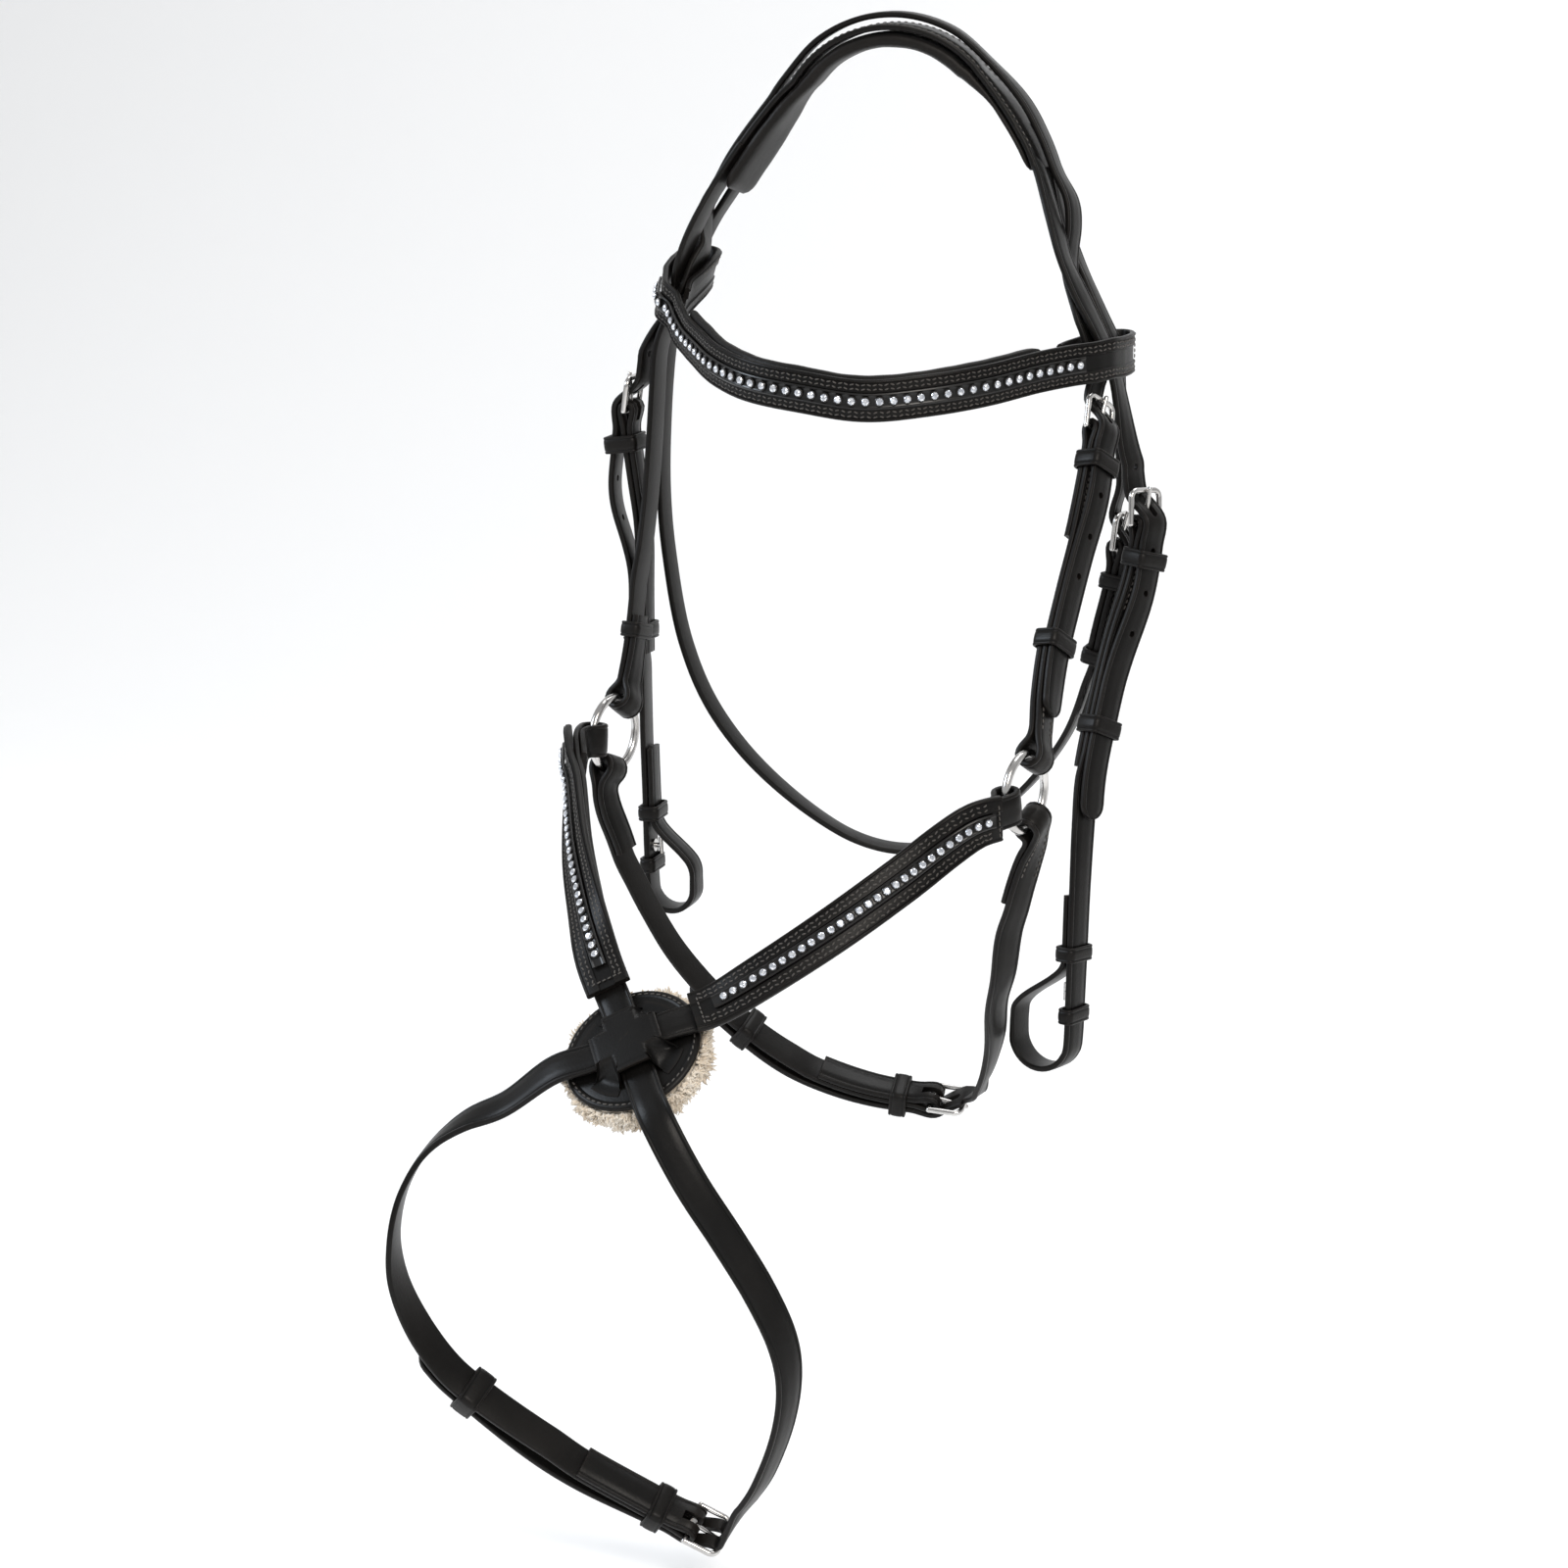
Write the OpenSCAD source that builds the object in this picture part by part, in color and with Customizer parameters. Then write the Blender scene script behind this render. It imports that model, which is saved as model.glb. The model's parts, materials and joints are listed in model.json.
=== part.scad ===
// Snaffle bridle with a figure-eight (grackle) noseband, hanging from the bend of its headpiece.
// Millimetres. X runs across the bridle (+X is the horse's near side), the bridle faces -Y, +Z is up.
// The origin is the centre of the bend of the crown.

/* [Leather] */
// Thickness of every strap
leather_t = 3; // [2.8:0.1:3.1]
// Width of the cheek straps and of the noseband's headstrap
strap_w = 16; // [15.5:0.5:16.5]
// Width of the crossed nose straps and the jowl strap
nose_w = 17; // [16:0.5:17.5]
// Width of the throatlash
throat_w = 13; // [12:0.5:13]
// Air left between neighbouring layers
gap = 0.4; // [0.3:0.05:0.5]

/* [Crown] */
// Inner radius of the crown padding
crown_r = 48; // [47.5:0.5:48.5]
// Width of the crown and its padding
crown_w = 36; // [35:0.5:37]
// Thickness of the crown padding
pad_t = 8.5; // [8:0.5:9]
// How far the crown is turned about the vertical
crown_yaw = 14; // [13:0.5:15]

/* [Hardware] */
// Wire diameter of the two noseband rings
ring_wire = 4.4; // [4:0.1:4.6]
// Radius of a noseband ring, to the middle of its wire
ring_r = 19.2; // [18.8:0.1:19.6]
// Wire diameter of the buckle frames
frame_wire = 3; // [2.8:0.1:3.2]
// Length of a buckle from its bar to its front
frame_len = 17; // [16:0.5:18]

/* [Noseband] */
// Half the distance between the two noseband rings
ring_x = 124; // [123.5:0.1:124.5]
// How far the noseband hangs turned about the vertical
nose_yaw = 9.2; // [8.8:0.1:9.6]
// Diameter of the rosette disc
rosette_d = 70; // [70:1:74]

/* [Crystals] */
// Diameter of one crystal
crystal_d = 3.6; // [3:0.1:3.8]
// Spacing of the crystals along the browband
crystal_pitch = 6.6; // [6.4:0.1:7]

/* [Hidden] */
$fn = 48;

black_leather = [0.07, 0.07, 0.075];
soft_leather = [0.10, 0.10, 0.105];
steel = [0.72, 0.72, 0.74];
fleece = [0.87, 0.82, 0.70];
crystal = [0.9, 0.95, 1.0];

bar_r = frame_wire / 2;
layer = leather_t + gap;                 // one strap to the next
half_fold = layer / 2;                   // middle of a folded strap to either of its layers
bar_fold_r = bar_r + gap + leather_t / 2;
ring_fold_r = ring_wire / 2 + 2.2 + leather_t / 2;
fold_lead = 11;                          // length over which a fold closes up behind its bar
tongue_r = 1.2;
keeper_t = 1.8;
keeper_l = 9;
slot_w = 4.6;                            // slot in a buckle end that the tongue turns in

// ---------- curves ----------
// A station is [point, direction the outer face looks].
function unit(v) = v / norm(v);
function smooth(t) = let (u = min(1, max(0, t))) u * u * (3 - 2 * u);
function catmull(a, b, c, d, t) =
    (2 * b + (c - a) * t + (2 * a - 5 * b + 4 * c - d) * t * t + (3 * b - a - 3 * c + d) * t * t * t) / 2;
function spline(c, k = 5) = let (m = len(c) - 1) concat(
    [for (i = [0:m - 1], j = [0:k - 1]) catmull(c[max(i - 1, 0)], c[i], c[i + 1], c[min(i + 2, m)], j / k)],
    [c[m]]);
// Distance along a path to each of its stations, paired with the station's number.
function distances(p) = [
    for (i = 0, s = 0; i < len(p); s = i + 1 < len(p) ? s + norm(p[i + 1][0] - p[i][0]) : s, i = i + 1)
    [s, i]];
function path(c, k = 5) = let (p = spline(c, k)) [p, distances(p)];
function path_length(q) = q[1][len(q[1]) - 1][0];
function station(q, s) = let (u = lookup(s, q[1]), i = min(floor(u), len(q[0]) - 2))
    q[0][i] + (q[0][i + 1] - q[0][i]) * (u - i);
// Frame at a distance along a path: [point, along, across, outward]. It runs on straight past the ends.
function frame(q, s) = let (
    on = max(0, min(path_length(q), s)),
    over = s - on,
    c = station(q, on),
    along = unit(station(q, on + 1.5)[0] - station(q, on - 1.5)[0]),
    out = unit(c[1] - (c[1] * along) * along))
    [c[0] + along * over, along, cross(out, along), out];
// Station seen in a frame, x along, y across and z outward.
function in_frame(f, x, y, z) = [f[0] + f[1] * x + f[2] * y + f[3] * z, f[3]];
// Stretch of a path from a to b, raised by rise(s) and moved across by aside(s).
function run(q, a, b, rise = function (s) 0, aside = function (s) 0, step = 6) =
    let (n = max(1, ceil(abs(b - a) / step)))
    [for (i = [0:n]) let (s = a + (b - a) * i / n) in_frame(frame(q, s), 0, aside(s), rise(s))];
// Half turn round a bar at frame f. side is -1 where the strap ends before the bar, +1 where it ends after.
function turn(f, r, side, from = 0, to = 180, n = 8) =
    [for (i = [0:n]) let (a = from + (to - from) * i / n, d = f[3] * cos(a) + f[1] * side * sin(a))
        [f[0] + d * r, d]];
function flip(list) = [for (c = list) [c[0], -c[1]]];
function back(list) = [for (i = [len(list) - 1:-1:0]) list[i]];
// Height of a layer that opens round a bar at distance b along its path.
function opened(s, b, r) = half_fold + (r - half_fold) * smooth(1 - abs(s - b) / fold_lead);
// Height of a billet that lies on top of an opened layer.
function on_top(s, b, r, lift = 0) = opened(s, b, r) + layer + 0.1 + lift;

// ---------- solids from curves ----------
// Flat strap along stations. Width w and thickness t are each a number or a list with one value a station.
module strap(list, w = strap_w, t = leather_t) {
    n = len(list);
    pts = [for (i = [0:n - 1]) let (
        along = unit(list[min(i + 1, n - 1)][0] - list[max(i - 1, 0)][0]),
        out = unit(list[i][1] - (list[i][1] * along) * along),
        across = cross(out, along),
        half = (is_list(w) ? w[i] : w) / 2,
        deep = (is_list(t) ? t[i] : t) / 2)
        for (k = [[-1, -1], [1, -1], [1, 1], [-1, 1]])
            list[i][0] + across * half * k[0] + out * deep * k[1]];
    sides = [for (i = [0:n - 2], j = [0:3]) let (a = 4 * i + j, b = 4 * i + (j + 1) % 4)
        each [[a, a + 4, b + 4], [a, b + 4, b]]];
    e = 4 * (n - 1);
    caps = [[0, 1, 2], [0, 2, 3], [e, e + 2, e + 1], [e, e + 3, e + 2]];
    polyhedron(points = pts, faces = concat(sides, caps), convexity = 10);
}
// Stations and widths of a rounded tip past distance b on a path, going the way dir points.
tip_angles = [30, 55, 75];
function tip(q, b, w, rise, dir) = [for (a = tip_angles) let (s = b + dir * sin(a) * w / 2)
    in_frame(frame(q, s), 0, 0, rise(s))];
function tip_widths(n, w) = concat([for (i = [1:n]) w], [for (a = tip_angles) w * cos(a)]);

module put(f) {
    multmatrix([
        [f[1][0], f[2][0], f[3][0], f[0][0]],
        [f[1][1], f[2][1], f[3][1], f[0][1]],
        [f[1][2], f[2][2], f[3][2], f[0][2]],
        [0, 0, 0, 1]]) children();
}

// ---------- hardware ----------
// Wire buckle: bar at x = 0 along y, front at x = side * frame_len.
module buckle(f, w, side) {
    half = w / 2 + 1 + bar_r;
    corner = 4;
    color(steel) put(f) rotate([0, 0, side > 0 ? 180 : 0]) union() {
        rotate([90, 0, 0]) cylinder(r = bar_r, h = 2 * half, center = true);
        for (k = [-1, 1]) {
            translate([0, k * half, 0]) sphere(r = bar_r);
            translate([0, k * half, 0]) rotate([0, -90, 0]) cylinder(r = bar_r, h = frame_len - corner);
            translate([corner - frame_len, k * (half - corner), 0]) rotate([0, 0, k > 0 ? 90 : 180])
                rotate_extrude(angle = 90) translate([corner, 0]) circle(r = bar_r);
        }
        translate([-frame_len, 0, 0]) rotate([90, 0, 0])
            cylinder(r = bar_r, h = 2 * (half - corner), center = true);
    }
}
// Tongue: an eye round the bar and a pin that rests on the front of the frame.
module tongue(f, side) {
    eye_r = bar_r + 0.1;
    rest = atan((bar_r + tongue_r + 0.1) / frame_len);
    color(steel) put(f) difference() {
        union() {
            rotate([90, 0, 0]) cylinder(r = eye_r + 1.1, h = 3.4, center = true);
            rotate([0, side > 0 ? 90 - rest : rest - 90, 0]) {
                translate([0, 0, eye_r + 0.3]) cylinder(r = tongue_r, h = frame_len + 0.8 - eye_r);
                translate([0, 0, frame_len + 1.1]) sphere(r = tongue_r);
            }
        }
        rotate([90, 0, 0]) cylinder(r = eye_r, h = 10, center = true);
    }
}
// Slot in a folded end that leaves room for the tongue's eye.
module tongue_slot(f) {
    put(f) translate([-7, -slot_w / 2, -8]) cube([14, slot_w, 16]);
}
// Flat leather loop round a stack of straps that spans z = low to high.
module keeper(f, w, low, high, l = keeper_l) {
    clear = 0.6;
    in_w = w + 2 * clear;
    in_h = high - low + 2 * clear;
    color(black_leather) put(f) translate([-l / 2, 0, (low + high) / 2]) difference() {
        translate([0, -in_w / 2 - keeper_t, -in_h / 2 - keeper_t])
            cube([l, in_w + 2 * keeper_t, in_h + 2 * keeper_t]);
        translate([-1, -in_w / 2, -in_h / 2]) cube([l + 2, in_w, in_h]);
    }
}
// Long punched hole that a tongue stands in.
module slot(f, l = 11) {
    put(f) {
        translate([-l / 2, -1.9, -4]) cube([l, 3.8, 8]);
        for (k = [-1, 1]) translate([k * l / 2, 0, -4]) cylinder(r = 1.9, h = 8);
    }
}
module hole(f) {
    put(f) translate([0, 0, -4]) cylinder(r = 1.7, h = 8);
}
// Row of crystals on a path.
module crystals(q, a, b, pitch, rise) {
    n = floor((b - a) / pitch);
    color(crystal) for (i = [0:n]) put(frame(q, a + (b - a) * i / n)) translate([0, 0, rise]) {
        cylinder(r = crystal_d / 2, h = 0.8);
        translate([0, 0, 0.8]) cylinder(r1 = crystal_d / 2, r2 = crystal_d / 4, h = 0.9);
    }
}

// ---------- headpiece, its padding and the straps that leave it ----------
head_r = crown_r + pad_t + gap + leather_t / 2;
crown_from = -59;          // the pad hugs the poll between these two angles from the top
crown_to = 51;
function crown_points(r) = [for (a = [crown_from:22:crown_to]) let (d = [sin(a) * cos(crown_yaw),
    sin(a) * sin(crown_yaw), cos(a)]) [d * r, d]];
crown = path(concat(
    [[[-86.5, -22.8, -27], [-1, 0, 0.5]], [[-77.5, -19, -12], [-1, 0, 0.5]], [[-67, -16, 4], [-1, 0, 0.6]],
     [[-56.5, -14, 19.5], [-1, -0.1, 0.8]]],
    crown_points(head_r),
    [[[61, 14, 17.5], [1, 0.1, 0.8]], [[73, 14, -1], [1, 0.1, 0.6]], [[80, 13, -16], [1, 0.1, 0.5]]]));
crown_low = crown[1][4 * 5][0];       // where the arc starts and ends along the path
crown_high = crown[1][9 * 5][0];
crown_end = path_length(crown);
// A path of a leg starts inside the crown's sheet, so the two join into one piece of leather.
function off_split(s, y) = in_frame(frame(crown, s), 0, y, 0);
function near_split(s, y) = in_frame(frame(crown, crown_end - s), 0, y, 0);
near_leg = path([
    near_split(24, -9.5), near_split(3, -10), [[92.5, -8, -39], [1, 0, 0.5]],
    [[99.5, -12.5, -56], [1, 0, 0.4]], [[109, -13.5, -74], [1, -0.1, 0.3]],
    [[118, -12.5, -91], [1, 0, 0.3]],
    [[124.3, -7, -109], [1, 0, 0.3]], [[127, -1.5, -128], [1, -0.05, 0.2]],
    [[132, -1.5, -152], [1, -0.3, 0.2]],
    [[140.5, -3, -178], [1, -0.4, 0]], [[142.5, -5, -196], [1, -0.45, 0]],
    [[139.5, -10, -219], [1, -0.5, -0.2]],
    [[134.5, -22, -248], [1, -0.5, 0]], [[131.5, -36, -280], [1, -0.5, 0]],
    [[129.5, -49, -312], [1, -0.45, 0]],
    [[130.5, -57, -339], [1, -0.4, 0]], [[131.5, -63, -369], [1, -0.3, 0]],
    [[132, -67, -404], [1, -0.25, 0]],
    [[131.5, -69, -449], [1, -0.2, 0]]]);
off_leg = path([
    off_split(24, -9), off_split(3, -11.5),
    [[-93.5, -44, -46], [-1, 0, 0.4]], [[-100.5, -43, -63], [-1, 0, 0.4]],
    [[-105, -38.7, -78], [-1, 0, 0.3]],
    [[-111, -39.6, -92], [-1, 0, 0.3]], [[-119, -45, -107], [-1, 0, 0.2]],
    [[-125.5, -47, -125], [-1, 0, 0]],
    [[-129.5, -47, -146], [-1, -0.1, 0]], [[-126, -47, -176], [-1, -0.15, 0]],
    [[-121.5, -48, -204], [-1, -0.15, 0]],
    [[-120.5, -50, -239], [-1, -0.15, 0]], [[-119.5, -52, -276], [-1, -0.15, 0]],
    [[-118.5, -53, -312], [-1, -0.15, 0]],
    [[-117.5, -53, -344], [-1, -0.15, 0]], [[-116.5, -53, -372], [-1, -0.1, 0]],
    [[-115.5, -53, -396], [-1, -0.1, 0]]]);
near_throat_leg = path([
    near_split(24, 11), near_split(3, 11.4), [[85, 24.5, -39], [1, 0, 0.5]], [[93.5, 20.5, -56], [1, 0, 0.4]],
    [[105, 12.5, -73], [1, 0, 0.3]], [[114.5, 9, -89], [1, 0, 0.3]], [[120, 9.5, -100], [1, 0, 0.3]]]);
off_throat_leg = path([
    off_split(24, 10.5), off_split(3, 13), [[-100, -8.3, -46], [-1, 0, 0.4]],
    [[-104.5, -16, -61], [-1, 0, 0.4]], [[-108.5, -22.5, -74], [-1, 0, 0.3]],
    [[-112.5, -25.5, -86], [-1, 0, 0.3]]]);

near_bar = 215;            // along near_leg
off_bar = 151;             // along off_leg
billet_tip = 148;          // a cheek billet's reach past its buckle bar
off_slack = 8;             // how far the loose off billet stands away from its cheekpiece

// Height of a billet over its own path: under the buckle's front, over its bar, then on the folded strap.
function billet_rise(s, b, r = bar_fold_r, slack = 0, reach = 100) = let (
    under = bar_r + gap + leather_t / 2,
    over = on_top(b, b, r),
    front = b - frame_len)
    s < front ? -under * smooth((s - front + 18) / 18)
    : s < b ? -under + (over + under) * smooth((s - front) / frame_len)
    : on_top(s, b, r) + slack * pow(sin(180 * min(1, (s - b) / reach)), 2);

module billet_holes(q, b, rise, places) {
    f = frame(q, b - frame_len / 2);
    slot([in_frame(f, 0, 0, 1.7)[0], f[1], f[2], f[3]]);
    for (s = places) {
        g = frame(q, s);
        hole([in_frame(g, 0, 0, rise(s))[0], g[1], g[2], g[3]]);
    }
}
near_rise = function (s) billet_rise(s, near_bar, slack = 3, reach = 90);
off_rise = function (s) billet_rise(s, off_bar, slack = off_slack, reach = 95);

module leg_billet(q, b, rise) {
    list = concat(run(q, 0, b - frame_len - 14), run(q, b - frame_len - 10, b + 12, rise, step = 3),
        run(q, b + 17, b + billet_tip, rise), tip(q, b + billet_tip, strap_w, rise, 1));
    n = len(list) - len(tip_angles);
    difference() {
        strap(list, tip_widths(n, strap_w));
        billet_holes(q, b, rise, [for (k = [-1:3]) if (k != 0) b - frame_len / 2 + k * 22]);
    }
}
module headpiece() {
    color(black_leather) union() {
        strap(run(crown, 0, crown_end, step = 5), crown_w, leather_t);
        leg_billet(near_leg, near_bar, near_rise);
        leg_billet(off_leg, off_bar, off_rise);
        strap(run(near_throat_leg, 0, path_length(near_throat_leg)), throat_w, leather_t - 0.1);
        strap(run(off_throat_leg, 0, path_length(off_throat_leg)), throat_w, leather_t - 0.1);
    }
}
module headpiece_padding() {
    flank_t = pad_t - 1.4;
    sunk = function (s) -(leather_t / 2 + gap + flank_t / 2);
    // On the near side the pad thins toward its end.
    thick = function (s) flank_t - 3.5 * smooth((s - crown_high + 5) / 25);
    thin = function (s) -(leather_t / 2 + gap + 0.2 + thick(s) / 2);
    from = crown_high - 5;
    to = crown_end - 4;
    n = ceil((to - from) / 6);
    near_t = [for (i = [0:n]) thick(from + (to - from) * i / n)];
    color(soft_leather) union() {
        rotate([90, 0, crown_yaw]) rotate([0, 0, 90 - crown_to]) rotate_extrude(angle = crown_to - crown_from)
            translate([crown_r, -crown_w / 2]) square([pad_t - 0.6, crown_w]);
        strap(run(crown, from, to, thin), crown_w - 0.6, near_t);
        strap(run(crown, 4, crown_low + 5, sunk), crown_w - 0.6, flank_t);
    }
}

// ---------- noseband headstrap and the near noseband cheek ----------
near_ring_at = [126.9, -132.8, -305];
off_ring_at = [-117.9, -93.2, -305];
ring_axis = [cos(nose_yaw), -sin(nose_yaw), 0];
ring_back = [sin(nose_yaw), cos(nose_yaw), 0];
fold_seat = ring_r - 0.8;
function on_ring(c, back, up, past = 0) =
    c + (ring_back * back + [0, 0, up]) * (fold_seat + past) / norm([back, up]);

near_cheek = path([
    [[119.5, -13, -107], [1, 0, 0.3]], [[121.5, -19, -122], [1, -0.1, 0.2]],
    [[124.5, -28, -140], [1, -0.35, 0]],
    [[125.5, -42, -164], [1, -0.4, 0]], [[125.5, -57, -189], [1, -0.4, 0]],
    [[124.5, -74, -215], [1, -0.4, 0]],
    [[124, -91, -241], [1, -0.35, 0]], [[125.8, -106, -264], [1, -0.25, 0]],
    [on_ring(near_ring_at, 0.5, 0.87, 10), ring_axis], [on_ring(near_ring_at, 0.5, 0.87), ring_axis]]);
near_cheek_end = path_length(near_cheek);
cheek_bar = 37;
off_headstrap = path([
    [on_ring(off_ring_at, 0.5, 0.87), -ring_axis], [on_ring(off_ring_at, 0.5, 0.87, 10), -ring_axis],
    [[-114.5, -75, -262], [-1, 0, 0]],
    [[-114, -70, -242], [-1, 0, 0]], [[-114, -64.3, -216], [-1, 0, 0]], [[-114, -56, -186], [-1, 0, 0]],
    [[-113.5, -51, -154], [-1, 0, 0]], [[-113.5, -47, -126], [-1, 0, 0.1]],
    [[-112.5, -45, -107], [-1, 0, 0.2]],
    [[-107.5, -42.5, -92], [-1, 0, 0.3]], [[-100.5, -40.5, -79], [-1, 0, 0.3]],
    [[-96.8, -35, -64], [-1, 0, 0.4]],
    [[-94, -29.5, -56], [-1, 0, 0.4]], [[-96, -25, -45], [-1, 0, 0.2]],
    [[-95.5, -23, -34], [-1, 0, 0.4]], [[-88.5, -21.5, -22], [-1, 0, 0.5]],
    [[-82, -20, -9.5], [-1, 0, 0.6]], [[-73, -17, 4.5], [-1, 0, 0.7]],
    [[-61, -14, 21.5], [-1, -0.1, 0.9]]]);
head_layer_r = head_r + layer + 2.6;
over_crown = concat(off_headstrap[0], spline(concat(
    [[[-61, -14, 21.5], [-1, -0.1, 0.9]]], crown_points(head_layer_r),
    [[[66.5, 14.5, 21.5], [1, 0.1, 0.9]], [[78, 14.5, 2], [1, 0.1, 0.7]], [[85.5, 13, -14], [1, 0.1, 0.5]],
    [[94, 11, -28], [1, 0, 0.5]], [[96.5, 8, -42], [1, 0, 0.4]], [[96, 4.5, -56], [1, 0, 0.4]],
    [[100.5, -4.5, -70], [1, 0, 0.3]], [[109, -14, -84], [1, 0, 0.3]],
    [[115.5, -15, -96], [1, -0.1, 0.3]]])));
cheek_rise = function (s) billet_rise(s, cheek_bar, slack = 2, reach = 70);
cheek_billet_tip = 148;

module noseband_headstrap() {
    folded_s = 46;
    rise = function (s) opened(s, 0, ring_fold_r);
    fall = function (s) -opened(s, 0, ring_fold_r);
    level = function (s) half_fold * (1 - smooth((s - 60) / 25));
    end = path_length(off_headstrap);
    cross = [over_crown, distances(over_crown)];
    list = concat(
        flip(run(off_headstrap, folded_s, 3, fall, step = 4)),
        turn(frame(off_headstrap, 0), ring_fold_r, -1, 180, 0),
        run(off_headstrap, 3, 60, rise, step = 4),
        run(off_headstrap, 66, end - 6, level),
        run(cross, end, path_length(cross) - 4),
        run(near_cheek, 3, cheek_bar + 12, cheek_rise, step = 3),
        run(near_cheek, cheek_bar + 17, cheek_bar + cheek_billet_tip, cheek_rise),
        tip(near_cheek, cheek_bar + cheek_billet_tip, strap_w, cheek_rise, 1));
    color(black_leather) difference() {
        strap(list, tip_widths(len(list) - len(tip_angles), strap_w));
        billet_holes(near_cheek, cheek_bar, cheek_rise, [for (k = [1:4]) cheek_bar - frame_len / 2 + k * 22]);
    }
}
module off_headstrap_keeper() {
    keeper(frame(off_headstrap, 38), strap_w, -half_fold - leather_t / 2, half_fold + leather_t / 2, 8);
}
// Strap folded round a buckle bar at distance b and round a ring at its far end.
module near_noseband_cheek() {
    rise = function (s) max(opened(s, cheek_bar, bar_fold_r), opened(s, near_cheek_end, ring_fold_r));
    fall = function (s) -rise(s);
    bar = frame(near_cheek, cheek_bar);
    list = concat(
        flip(run(near_cheek, cheek_bar + 60, cheek_bar + 3, fall, step = 5)),
        turn(bar, bar_fold_r, -1, 180, 0),
        run(near_cheek, cheek_bar + 3, near_cheek_end - 3, rise, step = 5),
        turn(frame(near_cheek, near_cheek_end), ring_fold_r, 1, 0, 180),
        flip(run(near_cheek, near_cheek_end - 3, near_cheek_end - 60, fall, step = 5)));
    color(black_leather) difference() {
        strap(list, strap_w);
        tongue_slot(bar);
    }
}
folded_low = -half_fold - leather_t / 2;
billet_high = half_fold + layer + 0.1 + leather_t / 2;
module near_noseband_buckle() { buckle(frame(near_cheek, cheek_bar), strap_w, -1); }
module near_noseband_buckle_tongue() { tongue(frame(near_cheek, cheek_bar), -1); }
module near_noseband_fixed_keeper() {
    keeper(frame(near_cheek, cheek_bar + 18), strap_w, folded_low, billet_high + 1.4);
}
module near_noseband_running_keeper() {
    keeper(frame(near_cheek, cheek_bar + 116), strap_w, folded_low, billet_high);
}
module ring(c) {
    color(steel) translate(c) rotate([0, 0, -nose_yaw]) rotate([0, 90, 0])
        rotate_extrude() translate([ring_r, 0]) circle(r = ring_wire / 2);
}
module off_ring() { ring(off_ring_at); }
module near_ring() { ring(near_ring_at); }

// ---------- cheekpieces ----------
near_end = path_length(near_leg);
off_end = path_length(off_leg);
module cheekpiece(q, b, loop_r, doubled, back_reach) {
    end = path_length(q);
    rise = function (s) opened(s, b, bar_fold_r) - half_fold * smooth((s - b - doubled + 8) / 16);
    fall = function (s) -opened(s, b, bar_fold_r);
    bar = frame(q, b);
    low = frame(q, end);
    seat = [low[0] - low[3] * loop_r, low[1], low[2], low[3]];
    // The tail stays parallel for most of the loop's radius, then closes up to the strap.
    reach = function (s) -2 * loop_r + (2 * loop_r - layer) * smooth((end - s - 0.7 * loop_r) / back_reach);
    color(black_leather) union() {
        difference() {
            strap(concat(
                flip(run(q, b + doubled, b + 3, fall, step = 6)),
                turn(bar, bar_fold_r, -1, 180, 0),
                run(q, b + 3, end + 1.3, rise, step = 6)), strap_w);
            tongue_slot(bar);
        }
        put(seat) rotate([90, 0, 0]) rotate([0, 0, -90]) rotate_extrude(angle = 180)
            translate([loop_r - leather_t / 2 + 0.05, 0.05 - strap_w / 2])
                square([leather_t - 0.1, strap_w - 0.1]);
        strap(flip(run(q, end + 0.6, end - 76, reach, step = 5)), strap_w - 0.3, leather_t - 0.3);
    }
}
// Hook stud: a plate against the inner face of the strap, a stem and a cross bar.
module hook_stud(f) {
    face = -leather_t / 2 - 0.3;
    color(steel) put(f) union() {
        translate([0, 0, face - 1]) cylinder(r = 3.4, h = 1);
        translate([0, 0, face - 4]) cylinder(r = 1.3, h = 3.5);
        translate([4.5, 0, face - 4]) rotate([0, -90, 0]) cylinder(r = 1.2, h = 9);
    }
}
near_loop_r = 16.5;
off_loop_r = 12.5;
module near_cheekpiece() { cheekpiece(near_leg, near_bar, near_loop_r, 130, 31); }
module off_cheekpiece() { cheekpiece(off_leg, off_bar, off_loop_r, 130, 30); }
module near_cheek_buckle() { buckle(frame(near_leg, near_bar), strap_w, -1); }
module off_cheek_buckle() { buckle(frame(off_leg, off_bar), strap_w, -1); }
module near_cheek_buckle_tongue() { tongue(frame(near_leg, near_bar), -1); }
module off_cheek_buckle_tongue() { tongue(frame(off_leg, off_bar), -1); }
module near_cheek_fixed_keeper() {
    keeper(frame(near_leg, near_bar + 18), strap_w, folded_low, billet_high + 1.6);
}
module off_cheek_fixed_keeper() {
    keeper(frame(off_leg, off_bar + 18), strap_w, folded_low, billet_high + 4);
}
module near_cheek_running_keeper() {
    keeper(frame(near_leg, near_bar + 108), strap_w, folded_low, billet_high + 0.6);
}
module off_cheek_running_keeper() {
    keeper(frame(off_leg, off_bar + 118), strap_w, folded_low, billet_high + 0.6);
}

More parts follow.
